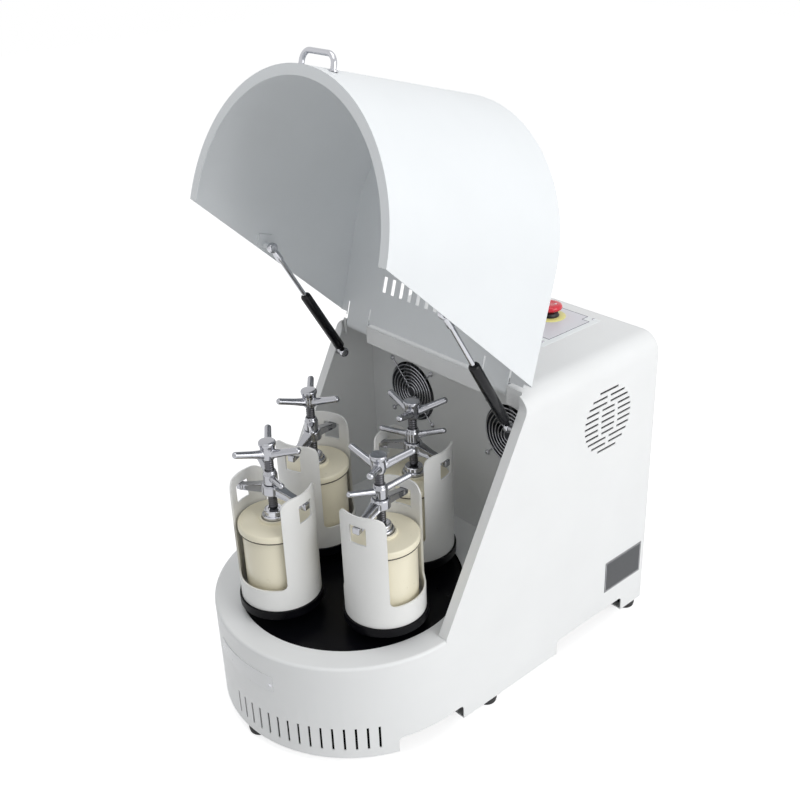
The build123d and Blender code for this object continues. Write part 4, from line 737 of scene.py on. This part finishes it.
def step_corners(sheet, notch):
    # Cuts a square out of each corner of a level sheet.
    bpy.ops.object.mode_set(mode="EDIT")
    for side in (-1, 1):
        bpy.ops.mesh.select_all(action="SELECT")
        bpy.ops.mesh.bisect(plane_co=PANEL + Vector((side * (HALF_WIDE - notch) * MM, 0, 0)), plane_no=(1, 0, 0))
        bpy.ops.mesh.select_all(action="SELECT")
        bpy.ops.mesh.bisect(plane_co=PANEL + Vector((0, side * (HALF_DEEP - notch) * MM, 0)), plane_no=(0, 1, 0))
    bpy.ops.object.mode_set(mode="OBJECT")
    pick_faces(sheet, lambda n, c: abs(c.x - PANEL.x) > (HALF_WIDE - notch) * MM and abs(c.y - PANEL.y) > (HALF_DEEP - notch) * MM)
    bpy.ops.mesh.delete(type="FACE")
    bpy.ops.object.mode_set(mode="OBJECT")
    return sheet


NOTCH = 16.0
PLATE_TOP = panel_top - 0.3
carrier = level_sheet("panel_plate", 2 * HALF_WIDE + 22.0, 2 * HALF_DEEP + 14.0, PLATE_TOP)
put(carrier, Matrix.Translation((0, -5.0 * MM, 0)))
soften(modify(carrier, "SOLIDIFY", thickness=2.0 * MM, offset=-1.0), 0.4, segments=2)
fit(carrier, "case", panel_rim)
film = step_corners(level_sheet("panel_film", 2 * HALF_WIDE, 2 * HALF_DEEP, panel_top), NOTCH)
modify(film, "SOLIDIFY", thickness=0.3 * MM, offset=-1.0)
fit(film, "case", panel_face, ["control_panel"])
line = step_corners(level_sheet("panel_line", 2 * HALF_WIDE, 2 * HALF_DEEP, panel_top), NOTCH)
hold(line)
bpy.ops.object.mode_set(mode="EDIT")
bpy.ops.mesh.select_all(action="SELECT")
bpy.ops.mesh.inset(thickness=1.3 * MM)
bpy.ops.mesh.delete(type="FACE")
bpy.ops.object.mode_set(mode="OBJECT")
modify(line, "SOLIDIFY", thickness=0.1 * MM, offset=1.0)
fit(line, "case", panel_edge_line)
print("panel:", round(2 * HALF_WIDE), "by", round(2 * HALF_DEEP), "mm")

# %% Panel screws, window and keys
for index, (x, y) in enumerate(((-1, -1), (1, -1), (-1, 1), (1, 1))):
    screw = turn_up("panel_screw_" + str(index + 1), [(2.9, 0.0), (2.9, 0.5), (2.2, 1.1), (1.2, 1.3), (1.1, 0.7)], sides=20)
    smooth(screw, 50)
    put(screw, Matrix.Translation((PANEL.x + x * (HALF_WIDE - 2.6) * MM, PANEL.y + y * (HALF_DEEP - 2.6) * MM, PLATE_TOP * MM)))
    fit(screw, "case", chrome_painted_reflection)
window = level_sheet("panel_window", 76.0, 34.0, panel_top)
put(window, Matrix.Translation((-42 * MM, 14 * MM, 0)))
soften(modify(window, "SOLIDIFY", thickness=0.8 * MM, offset=1.0), 0.5, segments=2)
fit(window, "case", window_glass)
for index in range(5):
    key = turn_up("panel_key_" + str(index + 1), [(6.4, panel_top), (6.4, panel_top + 0.4), (5.6, panel_top + 0.8), (2.0, panel_top + 1.0)], sides=32)
    smooth(key, 50)
    put(key, Matrix.Translation((PANEL.x + (20 * index - 82) * MM, PANEL.y - 34 * MM, 0)))
    fit(key, "case", panel_key)
print("keys:", 5)

# %% [markdown]
# ## Fan guards
#
# Each fan looks into the chamber through a guard of chromed wire: rings on two crossed bars whose ends are bent
# into screw eyes. A torus would give a ring at once, but a small circle spun round the middle shows how a lathe
# makes it, and the number of sides stays in hand.

# %% Wire
WIRE = 1.15


def wire_ring(radius, wire=WIRE, steps=64, sides=8):
    bpy.ops.object.select_all(action="DESELECT")
    bpy.ops.mesh.primitive_circle_add(vertices=sides, radius=wire * MM, location=(radius * MM, 0, 0), rotation=(math.pi / 2, 0, 0))
    bpy.ops.object.transform_apply(location=True, rotation=True)
    ring = bpy.context.object
    bpy.ops.object.mode_set(mode="EDIT")
    bpy.ops.mesh.select_all(action="SELECT")
    bpy.ops.mesh.spin(steps=steps, angle=2 * math.pi, center=(0, 0, 0), axis=(0, 0, 1))
    bpy.ops.mesh.select_all(action="SELECT")
    bpy.ops.mesh.remove_doubles(threshold=0.00001)
    bpy.ops.mesh.normals_make_consistent(inside=False)
    bpy.ops.object.mode_set(mode="OBJECT")
    return ring


def joined(pieces, name):
    hold(pieces[0])
    for piece in pieces:
        piece.select_set(True)
    bpy.ops.object.join()
    whole = bpy.context.object
    whole.name = name
    return whole


# %% Guards
guard_low, guard_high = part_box("fan_guards")
fan_z = (guard_low.z + guard_high.z) / 2
fan_x = guard_high.x - 57.5 * MM
wires = [wire_ring(52.0 - 7.0 * k) for k in range(7)]
for k in range(4):
    turn = 45 + 90 * k
    bar = turn_up("guard_bar", [(WIRE, 8.0), (WIRE, 69.4)], sides=8)
    wires.append(lay_along(bar, turn, -2 * WIRE))
    eye = wire_ring(3.9, steps=16)
    reach = 73.2 * MM
    put(eye, Matrix.Translation((reach * math.cos(math.radians(turn)), reach * math.sin(math.radians(turn)), -2 * WIRE * MM)))
    screw = turn_up("guard_screw", [(3.6, -2.0), (3.6, -0.6), (2.6, 0.4), (1.2, 0.8)], sides=16)
    put(screw, Matrix.Translation((reach * math.cos(math.radians(turn)), reach * math.sin(math.radians(turn)), 0)))
    wires += [eye, screw]
guard = smooth(joined(wires, "guard_pattern"), 50)
both = []
for side in (-1, 1):
    place = Matrix.Translation((side * fan_x, guard_low.y + 1.3 * MM, fan_z)) @ Matrix.Rotation(math.pi / 2, 4, "X")
    both.append(put(copy_of(guard, "guard_copy"), place))
bpy.data.objects.remove(guard)
fit(joined(both, "fan_guards_dressed"), "case", chrome_painted_reflection, ["fan_guards"])
print("fan guards at:", round(fan_x, 3), round(fan_z, 3))

# %% [markdown]
# ## The hood handle
#
# A chromed bow stands off the front of the hood. It is drawn with the hood closed, in numbers from the hinge, and
# one matrix then swings it open, so the same matrix serves every piece of the hood.

# %% Handle bow
HINGE = Vector((0, 57.0, 553.0)) * MM
HOOD_OPEN = Matrix.Translation(HINGE) @ Matrix.Rotation(math.radians(-106.0), 4, "X")
BOW_HALF, BOW_WALL, BOW_OUT, BOW_Z, BOW_BEND, BOW_BAR = 35.4, -427.0, -447.6, -327.0, 15.0, 4.4
bpy.ops.object.select_all(action="DESELECT")
bpy.ops.mesh.primitive_circle_add(
    vertices=20, radius=BOW_BAR * MM, fill_type="NGON", location=Vector((-BOW_HALF, BOW_WALL, BOW_Z)) * MM, rotation=(math.pi / 2, 0, 0),
)
bow = bpy.context.object
bow.name = "hood_handle"
bpy.ops.object.transform_apply(location=True, rotation=True)
bpy.ops.object.mode_set(mode="EDIT")
bpy.ops.mesh.select_all(action="SELECT")
straight = (BOW_OUT + BOW_BEND - BOW_WALL) * MM
bpy.ops.mesh.extrude_region_move(TRANSFORM_OT_translate={"value": (0, straight, 0)})
corner = Vector((-BOW_HALF + BOW_BEND, BOW_OUT + BOW_BEND, BOW_Z)) * MM
bpy.ops.mesh.spin(steps=8, angle=math.pi / 2, center=corner, axis=(0, 0, -1))
bpy.ops.mesh.extrude_region_move(TRANSFORM_OT_translate={"value": (2 * (BOW_HALF - BOW_BEND) * MM, 0, 0)})
corner.x = -corner.x
bpy.ops.mesh.spin(steps=8, angle=math.pi / 2, center=corner, axis=(0, 0, -1))
bpy.ops.mesh.extrude_region_move(TRANSFORM_OT_translate={"value": (0, -straight, 0)})
bpy.ops.mesh.select_all(action="SELECT")
bpy.ops.mesh.remove_doubles(threshold=0.00001)
bpy.ops.mesh.normals_make_consistent(inside=False)
bpy.ops.object.mode_set(mode="OBJECT")
span = [round(v / MM, 1) for v in bow.dimensions]
smooth(bow, 50)
flanges = []
for side in (-1, 1):
    flange = turn_up("bow_flange", [(7.4, 0.0), (7.4, 1.6), (6.4, 2.4), (4.6, 2.6)], sides=32)
    place = Matrix.Translation(Vector((side * BOW_HALF, -425.4, BOW_Z)) * MM) @ Matrix.Rotation(math.pi / 2, 4, "X")
    flanges.append(smooth(put(flange, place), 50))
bow = joined([bow] + flanges, "hood_handle")
fit(put(bow, HOOD_OPEN), "lid", chrome_painted_reflection, ["lid_handle"])
print("bow:", span)

# %% Latch screw
catch = turn_up("latch_screw", [(4.6, 0.0), (4.6, 1.2), (3.6, 2.6), (1.8, 2.9), (1.7, 1.8)], sides=24)
smooth(catch, 50)
put(catch, Matrix.Translation(Vector((221.2, -224.5, -338.0)) * MM) @ Matrix.Rotation(-math.pi / 2, 4, "Y"))
fit(put(catch, HOOD_OPEN), "lid", chrome_painted_reflection)
print("latch screw reach:", 2.9, "mm")

# %% [markdown]
# ## The gas springs
#
# A gas spring is a black tube with a chromed rod, and a ball socket at each end. Both halves are turned along the
# line between their two studs and then laid on that line.

# %% Springs
LOW_STUD = Vector((203.0, 31.1, 504.2)) * MM
HIGH_STUD = HOOD_OPEN @ (Vector((203.0, -132.5, -204.2)) * MM)
line = HIGH_STUD - LOW_STUD
SPRING_LENGTH = line.length / MM
SPRING_LEAN = Matrix.Translation(LOW_STUD) @ Vector((0, 0, 1)).rotation_difference(line).to_matrix().to_4x4()


def socket(height, name):
    cup = turn_up(name, [(7.0, -4.4), (8.6, -3.4), (8.9, 0.0), (8.6, 3.0), (7.2, 4.4), (4.6, 4.4), (4.6, 3.4)], sides=32)
    smooth(cup, 60)
    put(cup, Matrix.Rotation(math.pi / 2, 4, "Y"))
    return put(cup, Matrix.Translation((0, 0, height * MM)))


tube = turn_up("spring_tube", [
    (4.6, 6.5), (4.6, 14.0), (6.4, 15.5), (8.6, 18.0), (9.0, 19.0), (9.0, 149.4), (8.3, 151.6), (7.0, 153.2), (4.5, 153.5), (4.4, 150.0),
], sides=40)
smooth(tube, 50)
rod = turn_up("spring_rod", [(3.9, 120.0), (4.0, 121.0), (4.0, SPRING_LENGTH - 27.0)], sides=32)
smooth(rod, 50)
shank = turn_up("spring_shank", [
    (4.1, SPRING_LENGTH - 28.0), (5.8, SPRING_LENGTH - 27.2), (5.8, SPRING_LENGTH - 12.0), (5.0, SPRING_LENGTH - 10.0), (4.4, SPRING_LENGTH - 6.5),
], sides=24)
smooth(shank, 40)
tube.name = "tube_pattern"
rod = joined([rod, shank, socket(SPRING_LENGTH, "high_socket")], "rod_pattern")
for side, label in ((-1, "left"), (1, "right")):
    lean = Matrix.Translation((0 if side > 0 else -2 * LOW_STUD.x, 0, 0)) @ SPRING_LEAN
    fit(put(copy_of(tube, "spring_tube_" + label), lean), "spring_tube_" + label, black_gloss, ["gas_cylinder_" + label])
    fit(put(socket(0, "low_socket_" + label), lean), "spring_tube_" + label, chrome_painted_reflection)
    fit(put(copy_of(rod, "spring_rod_" + label), lean), "spring_rod_" + label, chrome_painted_reflection, ["gas_rod_" + label])
bpy.data.objects.remove(tube)
bpy.data.objects.remove(rod)
print("spring length:", round(SPRING_LENGTH, 1), "mm")

# %% [markdown]
# ## Plates
#
# A bare name plate sits on the front of the drum and a bare rating plate on the right side. Both are thin sheets
# with rounded corners, and small screws hold the front one.

# %% Name plate
plate_finish = finish("name_plate_film", paint(236, 237, 238), 0.3, relief=0.006, patch=30.0)
bpy.ops.object.select_all(action="DESELECT")
bpy.ops.mesh.primitive_plane_add(size=1, location=DRUM + Vector((0, -235.05, 143.0)) * MM, rotation=(math.pi / 2, 0, 0))
plate = bpy.context.object
plate.name = "name_plate"
plate.scale = (142 * MM, 32 * MM, 1)
bpy.ops.object.transform_apply(location=True, rotation=True, scale=True)
bpy.ops.object.mode_set(mode="EDIT")
bpy.ops.mesh.select_all(action="SELECT")
bpy.ops.mesh.bevel(offset=4 * MM, offset_type="OFFSET", segments=4, affect="VERTICES")
for k in range(1, 24):
    bpy.ops.mesh.select_all(action="SELECT")
    bpy.ops.mesh.bisect(plane_co=((k / 12 - 1) * 71 * MM, 0, 0), plane_no=(1, 0, 0))
bpy.ops.object.mode_set(mode="OBJECT")
for vertex in plate.data.vertices:
    turn = vertex.co.x / (235 * MM)
    vertex.co.x = 235.05 * MM * math.sin(turn)
    vertex.co.y = DRUM.y - 235.05 * MM * math.cos(turn)
modify(plate, "SOLIDIFY", thickness=0.9 * MM, offset=1.0)
smooth(plate, 30)
fit(plate, "case", plate_finish)
for side in (-1, 1):
    screw = turn_up("plate_screw", [(3.4, 0.0), (3.4, 0.7), (2.6, 1.2), (1.4, 1.3)], sides=20)
    smooth(screw, 50)
    turn = math.radians(side * 16.0)
    put(screw, Matrix.Translation((0, 235.3 * MM * -1, 141 * MM)) @ Matrix.Rotation(math.pi / 2, 4, "X"))
    put(screw, Matrix.Translation(DRUM) @ Matrix.Rotation(turn, 4, "Z"))
    screw.name = "plate_screw_" + ("right" if side > 0 else "left")
    fit(screw, "case", chrome_painted_reflection)
print("name plate:", [round(v / MM, 1) for v in plate.dimensions])

# %% Rating plate
rating_rim = finish("rating_plate_line", paint(212, 212, 216), 0.4, relief=0.006, patch=30.0)
rating_face = finish("rating_plate_face", paint(52, 54, 58), 0.4, relief=0.01, patch=40.0, drift=0.1)
bpy.ops.object.select_all(action="DESELECT")
bpy.ops.mesh.primitive_cube_add(size=1, location=Vector((235.2, 308.5, 114.5)) * MM)
rating = bpy.context.object
rating.name = "rating_plate"
rating.scale = (0.5 * MM, 103 * MM, 65 * MM)
bpy.ops.object.transform_apply(location=True, scale=True)
soften(rating, 0.2, segments=1)
fit(rating, "case", rating_face)
rating.data.materials.append(rating_rim)
pick_faces(rating, lambda n, c: n.x > 0.9)
for width, shade in ((1.6, 1), (1.0, 0)):
    # The face inside each inset gets the next tone: first the pale line, then the dark field.
    bpy.ops.mesh.inset(thickness=width * MM)
    bpy.ops.object.mode_set(mode="OBJECT")
    for face in rating.data.polygons:
        if face.select:
            face.material_index = shade
    bpy.ops.object.mode_set(mode="EDIT")
bpy.ops.object.mode_set(mode="OBJECT")
print("rating plate faces:", len(rating.data.polygons))
